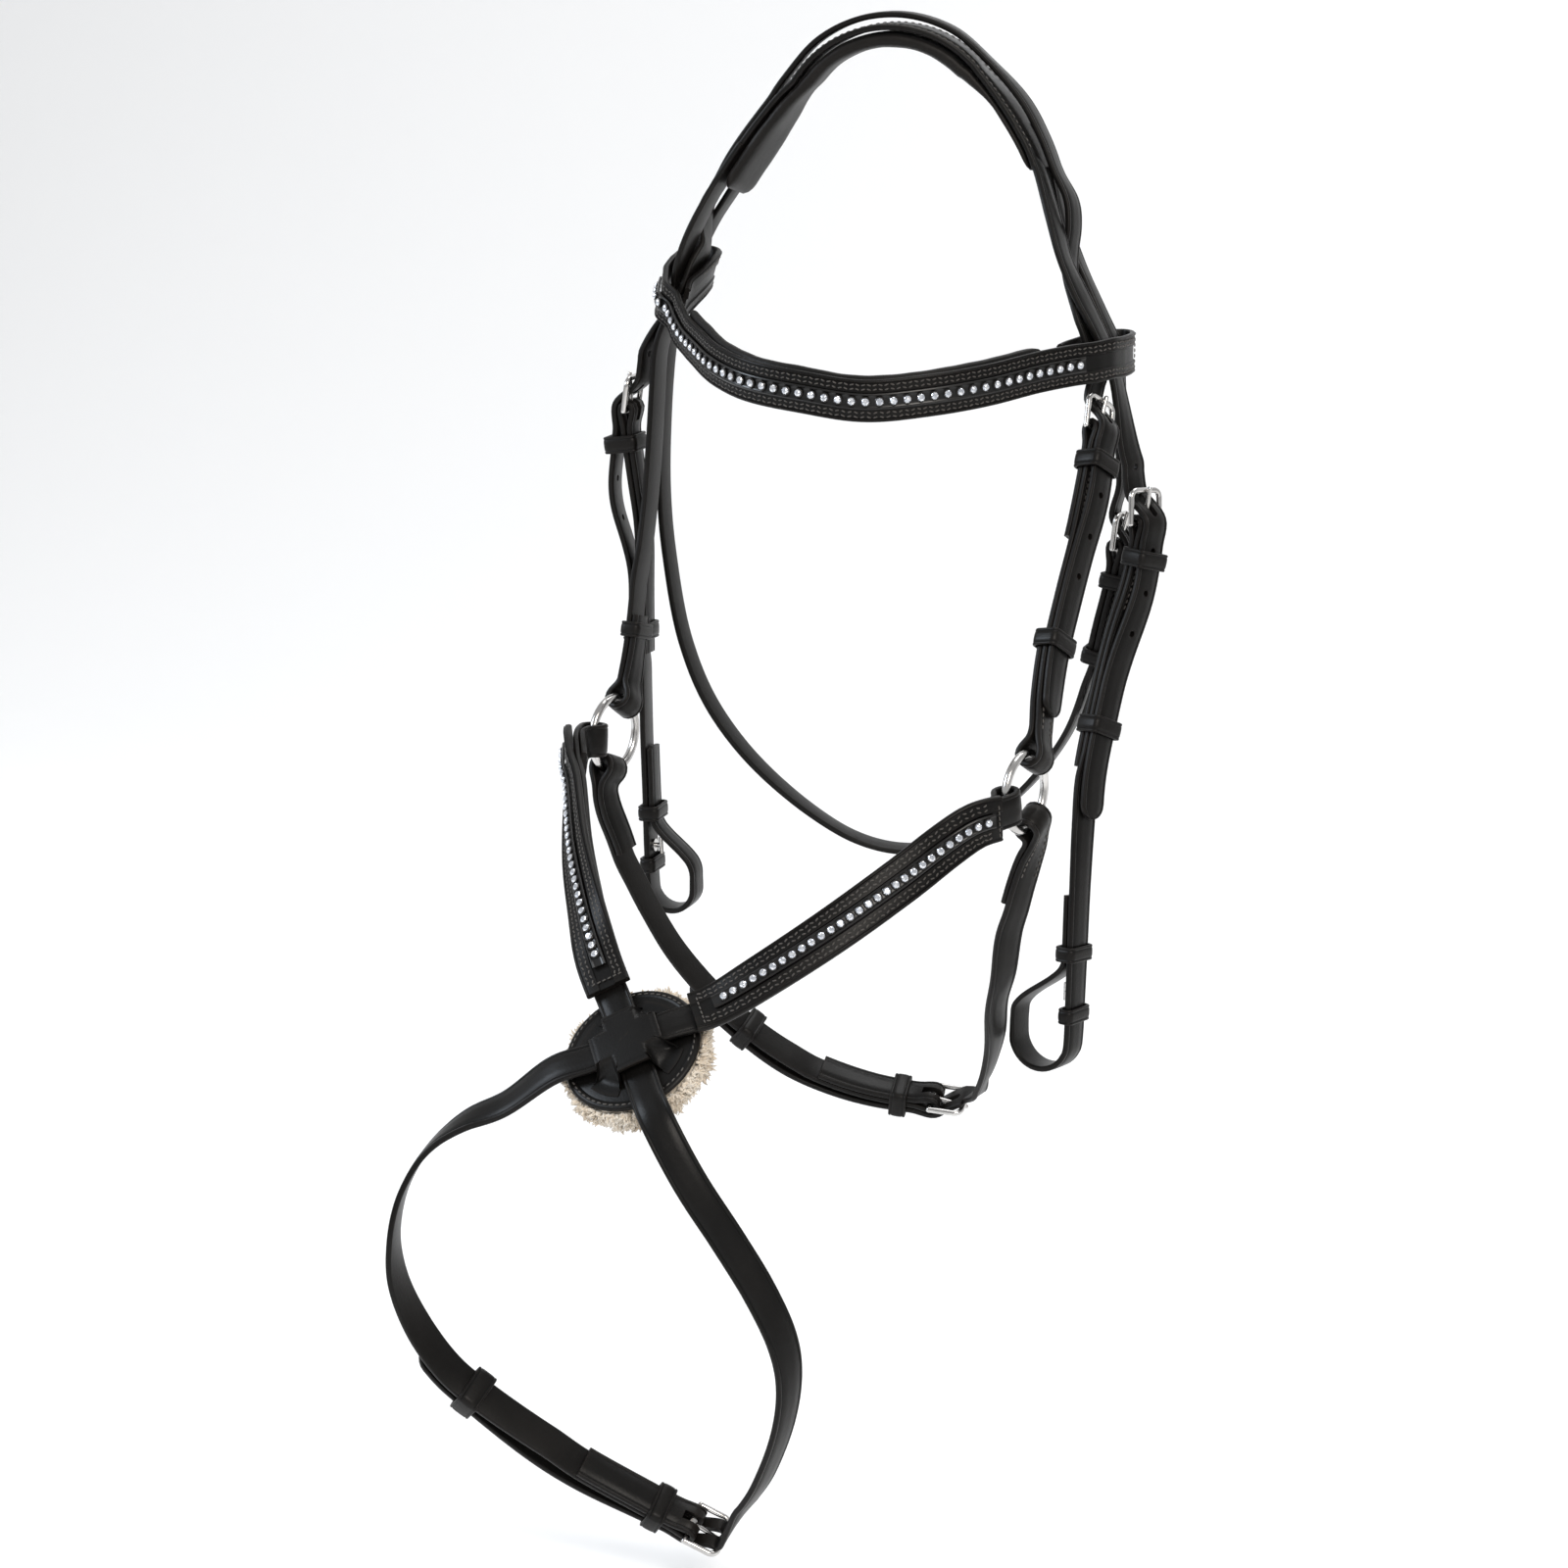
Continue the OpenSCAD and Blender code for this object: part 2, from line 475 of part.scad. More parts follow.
// ---------- browband ----------
band_h = 21;
band_pad_h = 22.5;
band_pad_t = 5.5;
channel_t = 1.2;
channel_w = 8;
band = path([
    [[128.5, -18, -104], [1, -0.1, 0]], [[123.5, -29.5, -105], [0.8, -0.6, 0]],
    [[114.5, -40, -106], [0.8, -0.6, 0]],
    [[102.5, -60, -108], [0.88, -0.47, 0]], [[86.5, -87, -112], [0.8, -0.6, 0]],
    [[64.5, -109, -115.5], [0.6, -0.8, 0]],
    [[36.5, -124, -118], [0.3, -0.95, 0]], [[4.5, -129, -114.5], [0, -1, 0]],
    [[-25.5, -125, -111], [-0.2, -0.98, 0]],
    [[-50.5, -110, -106], [-0.45, -0.9, 0]], [[-69, -92.5, -100], [-0.6, -0.8, 0]],
    [[-80, -81.5, -96], [-0.7, -0.7, 0]], [[-88, -73, -92], [-0.7, -0.7, 0.1]],
    [[-93.5, -66.5, -88], [-0.75, -0.65, 0.1]], [[-98, -61, -85], [-0.8, -0.6, 0.2]],
    [[-105.7, -56, -81.5], [-0.8, -0.55, 0.2]], [[-111, -45.5, -78], [-0.9, -0.3, 0.25]],
    [[-114.3, -35, -74.5], [-1, 0, 0.25]]]);
band_end = path_length(band);
near_loop = [
    [[108.5, -38.5, -106], [-1, 0.6, -0.1]], [[108.8, -29, -105.5], [-1, 0.1, -0.2]],
    [[110, -13, -105], [-1, 0, -0.25]],
    [[111, 6, -104.5], [-1, 0, -0.25]], [[113.5, 18.5, -104.5], [-0.8, 0.6, -0.1]],
    [[119.5, 23.5, -104.5], [0, 1, 0]],
    [[125.5, 18.5, -104.5], [0.8, 0.6, 0]], [[129, 6, -104.5], [1, 0, 0]],
    [[129.6, -7, -104.5], [1, 0, 0]]];
off_loop = [
    [[-115.4, -25, -71], [-1, 0, 0.25]], [[-115.5, -11, -68.5], [-0.9, 0.5, 0.2]],
    [[-109.5, -4, -67.5], [0, 1, 0]],
    [[-100, -5.5, -68.5], [0.7, 0.7, -0.2]], [[-96, -20, -71.5], [1, 0.2, -0.3]],
    [[-95.5, -34, -76], [1, 0, -0.35]],
    [[-96, -45, -80], [1, 0, -0.3]], [[-95, -53, -83.5], [0.9, 0.5, -0.2]]];
crystals_from = 24;
crystals_to = band_end - 6;

module browband() {
    list = concat(spline(near_loop, 3), run(band, 0, band_end), spline(off_loop, 3));
    color(black_leather) strap(list, band_h, leather_t - 0.4);
}
module browband_padding() {
    rise = function (s) -(leather_t / 2 + gap + band_pad_t / 2);
    up = function (s) -0.8;
    color(soft_leather) strap(run(band, 42, band_end - 52, rise, up), band_pad_h, band_pad_t);
}
module channel(q, a, b) {
    rise = function (s) leather_t / 2 + gap + channel_t / 2;
    color(black_leather) strap(run(q, a - 4, b + 4, rise), channel_w, channel_t);
}
module browband_crystal_channel() { channel(band, crystals_from, crystals_to); }
module browband_crystals() {
    crystals(band, crystals_from, crystals_to, crystal_pitch, leather_t / 2 + 2 * gap + channel_t);
}

// ---------- noseband, in its own frame ----------
// Its origin is midway between the rings, x runs through both rings and -y is forward.
nose_at = [4.5, -113, -305];
module in_noseband() { translate(nose_at) rotate([0, 0, -nose_yaw]) children(); }
function ring_point(side, back, up) = [side * ring_x, 0, 0] + [0, back, up] * fold_seat / norm([back, up]);
function ring_lead(side, back, up) =
    [side * ring_x, 0, 0] + [0, back, up] * (fold_seat + 10) / norm([back, up]);
rosette_at = [0, -162, -110];
rosette_out = unit([0.03, -0.65, 0.76]);
rosette_x = unit(cross([0, 0, 1], rosette_out));
rosette = [rosette_at, -cross(rosette_out, rosette_x), -rosette_x, rosette_out];
// Point of the rosette's plane, x to the near side and y up, at a height in front of it.
function on_rosette(x, y, z = 0) =
    [rosette_at + rosette_x * x - rosette[1] * y + rosette_out * z, rosette_out];
over = layer + 0.1;

off_upper = [
    [ring_point(-1, -1, 0), [-1, 0, 0]], [ring_lead(-1, -1, 0), [-1, 0, 0]],
    [[-114, -44, -5], [-0.9, -0.4, 0.1]], [[-98, -66, -19], [-0.75, -0.6, 0.3]],
    [[-77, -93, -39], [-0.6, -0.65, 0.45]], [[-54, -118, -59], [-0.4, -0.7, 0.6]],
    on_rosette(-34, 40, 5), on_rosette(-15, 18, 0.2), [rosette_at, rosette_out]];
near_upper = [
    [ring_point(1, -1, -0.2), [1, 0, 0]], [ring_lead(1, -1, -0.2), [1, 0, 0]],
    [[115, -44, -11], [0.85, -0.5, 0.2]], [[97, -71, -33], [0.7, -0.6, 0.4]],
    [[75, -100, -56.5], [0.5, -0.65, 0.5]], [[50, -125, -79], [0.3, -0.7, 0.6]],
    [[32, -139, -93], [0.15, -0.7, 0.7]],
    on_rosette(15, 12, over), on_rosette(0, 0, over)];
off_lower = [
    on_rosette(0, 0, over), on_rosette(-15, -12, over), on_rosette(-33, -22, over * 0.7),
    [[-55, -189, -141], [-0.3, -0.65, 0.7]], [[-74, -198, -151], [-0.6, -0.6, 0.5]],
    [[-88, -209, -165], [-0.8, -0.5, 0.2]], [[-96, -218, -184], [-0.85, -0.5, 0]],
    [[-98, -224, -206], [-0.85, -0.4, -0.2]], [[-96, -224, -229], [-0.8, -0.1, -0.4]],
    [[-89, -218, -253], [-0.7, 0.2, -0.6]], [[-76, -211, -274.5], [-0.5, 0.35, -0.7]],
    [[-60, -203, -289.5], [-0.4, 0.45, -0.75]], [[-40, -191, -306.5], [-0.35, 0.45, -0.8]],
    [[-18, -177, -324], [-0.35, 0.45, -0.8]], [[4, -165, -338], [-0.35, 0.45, -0.8]],
    [[20, -156, -348], [-0.35, 0.45, -0.8]], [[28, -152, -352.5], [-0.35, 0.45, -0.8]]];
near_lower = [
    [rosette_at, rosette_out], on_rosette(13, -15), on_rosette(32, -36),
    [[53, -189, -161], [0.5, -0.75, 0.4]], [[70, -182, -189], [0.7, -0.65, 0.2]],
    [[84, -176, -214], [0.85, -0.5, 0]],
    [[93, -170, -239], [0.95, -0.3, -0.15]], [[94, -166, -262], [0.95, -0.1, -0.3]],
    [[87, -162, -289], [0.85, 0, -0.5]], [[72, -156, -319], [0.7, 0.05, -0.7]],
    [[58, -152, -338], [0.55, 0.1, -0.8]]];
off_nose = path(concat(off_upper, [for (i = [1:len(near_lower) - 1]) near_lower[i]]));
near_nose = path(concat(near_upper, [for (i = [1:len(off_lower) - 1]) off_lower[i]]));
chin = path(off_lower);
chin_bar = path_length(chin);
near_nose_end = path_length(near_nose);

// Billet that meets a buckle from the inside of a corner and lies back along the strap it is buckled to.
function corner_billet(from, q, b, reach, w, slack) = let (
    f = frame(q, b),
    rise = function (s) on_top(s, b, bar_fold_r) + slack * pow(sin(180 * min(1, (b - s) / (reach - 8))), 2),
    under = bar_r + gap + leather_t / 2,
    lie = concat(run(q, b, b - 12, rise, step = 3), run(q, b - 17, b - reach, rise),
        tip(q, b - reach, w, rise, -1)))
    concat(from,
        [in_frame(f, frame_len + 5, 0, -under - 2), in_frame(f, frame_len, 0, -under - 0.5),
         in_frame(f, frame_len * 0.75, 0, 0.2 - under * 0.4),
         in_frame(f, frame_len * 0.5, 0, 1.9), in_frame(f, frame_len * 0.22, 0, 5.8)],
        lie);
module corner_holes(q, b, rise, places, w) {
    f = frame(q, b + frame_len * 0.5);
    slot([in_frame(f, 0, 0, 1.7)[0], f[1], f[2], f[3]]);
    for (s = places) {
        g = frame(q, s);
        hole([in_frame(g, 0, 0, rise(s))[0], g[1], g[2], g[3]]);
    }
}
chin_reach = 150;
chin_slack = 6;
overlay_from = 12;
overlay_w = 23;
overlay_t = 3.6;
overlay_to = 190;

module off_nose_strap() {
    rise = function (s) opened(s, 0, ring_fold_r) - half_fold * smooth((s - 34) / 20);
    fall = function (s) -opened(s, 0, ring_fold_r);
    end = path_length(off_nose);
    list = corner_billet(concat(
        flip(run(off_nose, 34, 3, fall, step = 5)),
        turn(frame(off_nose, 0), ring_fold_r, -1, 180, 0),
        run(off_nose, 3, end, rise)), chin, chin_bar, chin_reach, nose_w, chin_slack);
    w = tip_widths(len(list) - len(tip_angles), nose_w);
    rise_back = function (s) on_top(s, chin_bar, bar_fold_r) + 1;
    in_noseband() color(black_leather) difference() {
        strap(list, w);
        corner_holes(chin, chin_bar, rise_back, [for (k = [2:5]) chin_bar - k * 22], nose_w);
    }
}
module near_nose_strap() {
    rise = function (s) s < near_nose_end / 2
        ? opened(s, 0, ring_fold_r) - half_fold * smooth((s - 34) / 20)
        : opened(s, near_nose_end, bar_fold_r) - half_fold * smooth((near_nose_end - 62 - s) / 20);
    fall = function (s) -opened(s, 0, ring_fold_r);
    fall_bar = function (s) -opened(s, near_nose_end, bar_fold_r);
    bar = frame(near_nose, near_nose_end);
    in_noseband() color(black_leather) difference() {
        strap(concat(
            flip(run(near_nose, 34, 3, fall, step = 5)),
            turn(frame(near_nose, 0), ring_fold_r, -1, 180, 0),
            run(near_nose, 3, near_nose_end - 3, rise),
            turn(bar, bar_fold_r, 1, 0, 180),
            flip(run(near_nose, near_nose_end - 3, near_nose_end - 62, fall_bar, step = 5))), nose_w);
        tongue_slot(bar);
    }
}
module overlay(q) {
    rise = function (s) opened(s, 0, ring_fold_r) - half_fold * smooth((s - 34) / 20)
        + leather_t / 2 + gap + 0.4 + overlay_t / 2;
    in_noseband() color(black_leather)
        strap(run(q, overlay_from, overlay_to, rise, step = 3), overlay_w, overlay_t);
}
module off_nose_overlay() { overlay(off_nose); }
module near_nose_overlay() { overlay(near_nose); }
overlay_top = leather_t / 2 + gap + 0.4 + overlay_t;
module overlay_channel(q) {
    rise = function (s) opened(s, 0, ring_fold_r) - half_fold * smooth((s - 34) / 20)
        + overlay_top + gap + channel_t / 2;
    in_noseband() color(black_leather)
        strap(run(q, overlay_from + 4, overlay_to - 12, rise, step = 3), channel_w - 1, channel_t);
}
module off_nose_crystal_channel() { overlay_channel(off_nose); }
module near_nose_crystal_channel() { overlay_channel(near_nose); }
module overlay_crystals(q) {
    n = floor((overlay_to - overlay_from - 26) / 5.4);
    lift = overlay_top + 2 * gap + channel_t;
    in_noseband() color(crystal) for (i = [0:n]) let (s = overlay_from + 8 + i * 5.4,
        rise = opened(s, 0, ring_fold_r) - half_fold * smooth((s - 34) / 20) + lift)
        put(frame(q, s)) translate([0, 0, rise]) {
            cylinder(r = crystal_d / 2, h = 0.8);
            translate([0, 0, 0.8]) cylinder(r1 = crystal_d / 2, r2 = crystal_d / 4, h = 0.9);
        }
}
module off_nose_crystals() { overlay_crystals(off_nose); }
module near_nose_crystals() { overlay_crystals(near_nose); }

disc_t = 3;
fleece_t = 10;
module rosette_disc() {
    in_noseband() put(rosette) color(black_leather)
        translate([0, 0, -leather_t / 2 - gap - disc_t]) cylinder(r = rosette_d / 2, h = disc_t, $fn = 96);
}
module sheepskin_pad() {
    in_noseband() put(rosette) color(fleece)
        translate([0, 0, -leather_t / 2 - 2 * gap - disc_t - fleece_t])
            cylinder(r = rosette_d / 2 + 1, h = fleece_t, $fn = 96);
}
cap_w = 37;
cap_t = 2.4;
module rosette_cap() {
    cap_top = leather_t / 2 + layer + 0.1 + gap;
    low = -leather_t / 2 - gap + 0.1;
    in_noseband() put(rosette) color(black_leather) rotate([0, 0, 5.5]) {
        translate([-cap_w / 2, -cap_w / 2, cap_top]) cube([cap_w, cap_w, cap_t]);
        for (a = [0:90:270]) rotate([0, 0, a]) translate([cap_w / 2 - 4, -2, low])
            cube([4, 4, cap_top - low + 0.1]);
    }
}
module chin_buckle() { in_noseband() buckle(frame(chin, chin_bar), nose_w, 1); }
module chin_buckle_tongue() { in_noseband() tongue(frame(chin, chin_bar), 1); }
module chin_fixed_keeper() {
    in_noseband() keeper(frame(chin, chin_bar - 18), nose_w, folded_low, billet_high + 1);
}
module chin_running_keeper() {
    in_noseband() keeper(frame(chin, chin_bar - 126), nose_w, folded_low, billet_high + 1.8, 11);
}

// ---------- jowl straps ----------
jowl = path([
    [ring_point(-1, -0.3, -0.95), [-1, 0, 0]], [ring_lead(-1, -0.3, -0.95), [-1, 0, 0]],
    [[-122, -8.5, -38], [-1, 0, 0]], [[-118, -5, -53], [-1, 0, -0.1]],
    [[-112, -1, -74], [-1, 0, -0.2]], [[-104, 5, -95], [-1, 0, -0.3]], [[-93, 12, -117], [-0.9, 0.1, -0.5]],
    [[-77, 21, -139], [-0.7, 0.2, -0.7]], [[-59, 30, -157], [-0.6, 0.2, -0.8]],
    [[-39, 40, -172], [-0.5, 0.3, -0.9]],
    [[-19, 51, -182], [-0.3, 0.4, -0.95]], [[0, 60, -188], [-0.2, 0.4, -1]],
    [[18, 68, -191], [-0.1, 0.4, -1]],
    [[30, 72, -192], [0, 0.4, -1]]]);
jowl_bar = path_length(jowl);
near_jowl = path([
    [ring_point(1, 0.4, -0.9), [1, 0, 0]], [ring_lead(1, 0.4, -0.9), [1, 0, 0]],
    [[119, 12, -40], [1, -0.2, 0]],
    [[114, 11, -58], [0.95, -0.3, -0.1]], [[107.5, 14, -80], [0.9, -0.4, -0.2]],
    [[101, 21, -102], [0.9, -0.3, -0.3]],
    [[91.5, 31, -122], [0.9, -0.1, -0.4]],
    [[81, 48, -146], [0.8, 0.1, -0.5]], [[70, 60, -167], [0.7, 0.3, -0.6]],
    [[60, 69, -181], [0.6, 0.4, -0.7]]]);
near_jowl_end = path_length(near_jowl);
jowl_reach = 136;
module off_jowl_strap() {
    rise = function (s) s < jowl_bar / 2
        ? opened(s, 0, ring_fold_r) - half_fold * smooth((s - 46) / 20)
        : opened(s, jowl_bar, bar_fold_r) - half_fold * smooth((jowl_bar - 62 - s) / 20);
    fall = function (s) -opened(s, 0, ring_fold_r);
    fall_bar = function (s) -opened(s, jowl_bar, bar_fold_r);
    bar = frame(jowl, jowl_bar);
    in_noseband() color(black_leather) difference() {
        strap(concat(
            flip(run(jowl, 46, 3, fall, step = 5)),
            turn(frame(jowl, 0), ring_fold_r, -1, 180, 0),
            run(jowl, 3, jowl_bar - 3, rise),
            turn(bar, bar_fold_r, 1, 0, 180),
            flip(run(jowl, jowl_bar - 3, jowl_bar - 62, fall_bar, step = 5))), strap_w);
        tongue_slot(bar);
    }
}
module near_jowl_strap() {
    rise = function (s) opened(s, 0, ring_fold_r) - half_fold * smooth((s - 46) / 20);
    fall = function (s) -opened(s, 0, ring_fold_r);
    list = corner_billet(concat(
        flip(run(near_jowl, 46, 3, fall, step = 5)),
        turn(frame(near_jowl, 0), ring_fold_r, -1, 180, 0),
        run(near_jowl, 3, near_jowl_end, rise)), jowl, jowl_bar, jowl_reach, strap_w, 2);
    rise_back = function (s) on_top(s, jowl_bar, bar_fold_r) + 1;
    in_noseband() color(black_leather) difference() {
        strap(list, tip_widths(len(list) - len(tip_angles), strap_w));
        corner_holes(jowl, jowl_bar, rise_back, [for (k = [2:4]) jowl_bar - k * 22], strap_w);
    }
}
module jowl_buckle() { in_noseband() buckle(frame(jowl, jowl_bar), strap_w, 1); }
module jowl_buckle_tongue() { in_noseband() tongue(frame(jowl, jowl_bar), 1); }
module jowl_fixed_keeper() {
    in_noseband() keeper(frame(jowl, jowl_bar - 18), strap_w, folded_low, billet_high + 1);
}
module jowl_running_keeper() {
    in_noseband() keeper(frame(jowl, jowl_bar - 106), strap_w, folded_low, billet_high + 0.6);
}

// ---------- bit ends of the cheekpieces ----------
module off_hook_stud() { hook_stud(frame(off_leg, off_end - 22)); }
module near_hook_stud() { hook_stud(frame(near_leg, near_end - 25)); }
module bit_keepers(q, high, low) {
    keeper(frame(q, high), strap_w, -layer - leather_t / 2 - 0.6, leather_t / 2, 8);
    keeper(frame(q, low), strap_w, -leather_t / 2 - 1, leather_t / 2, 8);
}
module off_bit_keepers() { bit_keepers(off_leg, off_end - 41, off_end - 12.5); }
module near_bit_keepers() { bit_keepers(near_leg, near_end - 46, near_end - 14); }

// ---------- throatlash ----------
throat = path([
    [[-113.8, -25, -91], [-1, 0, 0.2]], [[-116.5, -27, -114], [-1, 0, 0]], [[-118, -29, -144], [-1, 0, 0]],
    [[-119, -29, -182], [-1, 0, 0]], [[-116.5, -28, -219], [-1, 0, 0]], [[-108, -27, -265], [-1, 0, -0.2]],
    [[-92.5, -21, -305], [-0.9, 0, -0.4]], [[-65.5, -8, -342], [-0.7, 0, -0.7]],
    [[-29.5, 13, -374], [-0.4, 0, -0.9]],
    [[4.5, 26, -382], [0, 0.1, -1]], [[36.5, 30, -369], [0.4, 0.1, -0.9]],
    [[66.5, 29, -343], [0.7, 0, -0.7]],
    [[91.5, 23, -311], [0.9, 0, -0.4]], [[106.5, 13, -279], [1, 0, -0.2]], [[114.5, 10, -249], [1, 0, 0]],
    [[120.5, 13, -219], [1, 0, 0]], [[123.5, 14, -179], [1, 0, 0]], [[122.5, 12, -139], [1, 0, 0]],
    [[121.7, 10, -106], [1, 0, 0.2]]]);
throat_end = path_length(throat);
throat_bar = throat_end - 100;
throat_reach = 90;
throat_rise = function (s) billet_rise(throat_bar - (s - throat_bar), throat_bar, slack = 1, reach = 80);
module near_throat_billet() {
    b = throat_bar;
    list = concat(
        run(throat, throat_end, b + frame_len + 26),
        run(throat, b + frame_len + 20, b - 12, throat_rise, step = 3),
        run(throat, b - 17, b - throat_reach, throat_rise),
        tip(throat, b - throat_reach, throat_w, throat_rise, -1));
    f = frame(throat, b + frame_len / 2);
    color(black_leather) difference() {
        strap(list, tip_widths(len(list) - len(tip_angles), throat_w));
        slot([in_frame(f, 0, 0, 1.7)[0], f[1], f[2], f[3]]);
        for (k = [2:3]) let (g = frame(throat, b - k * 20))
            hole([in_frame(g, 0, 0, throat_rise(b - k * 20))[0], g[1], g[2], g[3]]);
    }
}
module throatlash() {
    rise = function (s) opened(s, throat_bar, bar_fold_r) - half_fold * smooth((throat_bar - 56 - s) / 20);
    fall = function (s) -opened(s, throat_bar, bar_fold_r);
    bar = frame(throat, throat_bar);
    color(black_leather) difference() {
        strap(concat(
            run(throat, 0, throat_bar - 3, rise, step = 8),
            turn(bar, bar_fold_r, 1, 0, 180),
            flip(run(throat, throat_bar - 3, throat_bar - 56, fall, step = 6))), throat_w);
        tongue_slot(bar);
    }
}
module throatlash_buckle() { buckle(frame(throat, throat_bar), throat_w, 1); }
module throatlash_buckle_tongue() { tongue(frame(throat, throat_bar), 1); }
module throatlash_fixed_keeper() {
    keeper(frame(throat, throat_bar - 18), throat_w, folded_low, billet_high + 0.6, 8);
}
module throatlash_running_keeper() {
    keeper(frame(throat, throat_bar - 58), throat_w, folded_low, billet_high + 0.6, 8);
}

headpiece();
headpiece_padding();
noseband_headstrap();
off_headstrap_keeper();
browband();
browband_padding();
browband_crystal_channel();
browband_crystals();
near_noseband_cheek();
near_noseband_buckle();
near_noseband_buckle_tongue();
near_noseband_fixed_keeper();
near_noseband_running_keeper();
off_ring();
near_ring();
off_nose_strap();
near_nose_strap();
off_nose_overlay();
near_nose_overlay();
off_nose_crystal_channel();
near_nose_crystal_channel();
off_nose_crystals();
near_nose_crystals();
rosette_disc();
rosette_cap();
sheepskin_pad();
chin_buckle();
chin_buckle_tongue();
chin_fixed_keeper();
chin_running_keeper();
off_jowl_strap();
near_jowl_strap();
jowl_buckle();
jowl_buckle_tongue();
jowl_fixed_keeper();
jowl_running_keeper();
off_cheekpiece();
off_cheek_buckle();
off_cheek_buckle_tongue();
off_cheek_fixed_keeper();
off_cheek_running_keeper();
off_hook_stud();
off_bit_keepers();
near_cheekpiece();
near_cheek_buckle();
near_cheek_buckle_tongue();
near_cheek_fixed_keeper();
near_cheek_running_keeper();
near_hook_stud();
near_bit_keepers();
near_throat_billet();
throatlash();
throatlash_buckle();
throatlash_buckle_tongue();
throatlash_fixed_keeper();
throatlash_running_keeper();
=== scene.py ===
import json
import math
import random

import bmesh
import bpy
import numpy as np
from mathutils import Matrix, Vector


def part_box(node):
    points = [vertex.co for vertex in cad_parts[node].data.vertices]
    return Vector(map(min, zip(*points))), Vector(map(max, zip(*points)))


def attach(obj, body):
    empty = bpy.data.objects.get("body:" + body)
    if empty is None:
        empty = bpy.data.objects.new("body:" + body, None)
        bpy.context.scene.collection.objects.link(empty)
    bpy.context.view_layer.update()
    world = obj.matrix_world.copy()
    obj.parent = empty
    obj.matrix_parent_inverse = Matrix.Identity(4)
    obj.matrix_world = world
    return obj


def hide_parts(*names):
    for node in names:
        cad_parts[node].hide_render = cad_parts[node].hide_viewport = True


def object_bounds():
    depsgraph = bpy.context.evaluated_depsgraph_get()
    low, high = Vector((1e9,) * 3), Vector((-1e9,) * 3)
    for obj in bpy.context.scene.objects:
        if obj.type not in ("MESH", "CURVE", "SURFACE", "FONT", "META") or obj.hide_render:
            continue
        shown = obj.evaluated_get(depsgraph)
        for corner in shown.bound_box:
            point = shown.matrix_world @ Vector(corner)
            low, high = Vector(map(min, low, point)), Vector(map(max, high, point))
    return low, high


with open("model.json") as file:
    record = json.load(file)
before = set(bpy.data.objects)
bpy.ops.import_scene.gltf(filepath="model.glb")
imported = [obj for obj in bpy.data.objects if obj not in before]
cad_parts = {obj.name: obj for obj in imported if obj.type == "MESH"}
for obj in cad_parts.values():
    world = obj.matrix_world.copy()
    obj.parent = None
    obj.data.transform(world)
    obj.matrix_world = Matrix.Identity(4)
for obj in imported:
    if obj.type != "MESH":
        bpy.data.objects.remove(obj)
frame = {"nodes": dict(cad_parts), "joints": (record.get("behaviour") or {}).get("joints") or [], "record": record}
cad_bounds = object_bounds()

MM = 0.001
STEP = 2.2                # spacing of the sections of a strap, mm
rng = random.Random(7)
JOINTS = {j["name"]: j for j in frame["joints"]}
MOUNTS = {m["name"]: m for m in frame["record"]["mounts"]}
BODY_OF = {n: b for b, ns in frame["record"]["behaviour"]["bodies"].items() for n in ns}


# ---------- materials ----------
def nodes_of(name, values):
    """A new material, its node tree and its shader with some inputs set."""
    mat = bpy.data.materials.new(name)
    mat.use_nodes = True
    bsdf = mat.node_tree.nodes["Principled BSDF"]
    for key, value in values.items():
        bsdf.inputs[key].default_value = value
    return mat, mat.node_tree, bsdf


def node(nt, kind, **values):
    n = nt.nodes.new("ShaderNode" + kind)
    for key, value in values.items():
        if key in n.inputs:
            n.inputs[key].default_value = value
        else:
            setattr(n, key, value)
    return n


def textures(nt, *kinds):
    """Texture nodes in the object's own coordinates."""
    coords = node(nt, "TexCoord").outputs["Object"]
    made = [node(nt, "Tex" + kind, **values) for kind, values in kinds]
    for t in made:
        nt.links.new(coords, t.inputs["Vector"])
    return made


def ramp(nt, source, stops):
    r = node(nt, "ValToRGB")
    r.color_ramp.elements[0].position, r.color_ramp.elements[0].color = stops[0]
    r.color_ramp.elements[1].position, r.color_ramp.elements[1].color = stops[-1]
    for pos, colour in stops[1:-1]:
        r.color_ramp.elements.new(pos).color = colour
    nt.links.new(source, r.inputs["Fac"])
    return r.outputs["Color"]


def vary_roughness(nt, bsdf, source, low, high):
    gloss = node(nt, "MapRange")
    gloss.inputs["To Min"].default_value = low
    gloss.inputs["To Max"].default_value = high
    nt.links.new(source, gloss.inputs["Value"])
    nt.links.new(gloss.outputs["Result"], bsdf.inputs["Roughness"])


def add_bump(nt, bsdf, source, strength, distance=0.0002):
    bump = node(nt, "Bump", Strength=strength, Distance=distance)
    nt.links.new(source, bump.inputs["Height"])
    nt.links.new(bump.outputs["Normal"], bsdf.inputs["Normal"])


def grey(v, warm=0.0):
    return (v * (1 + warm), v, v * (1 - warm), 1)


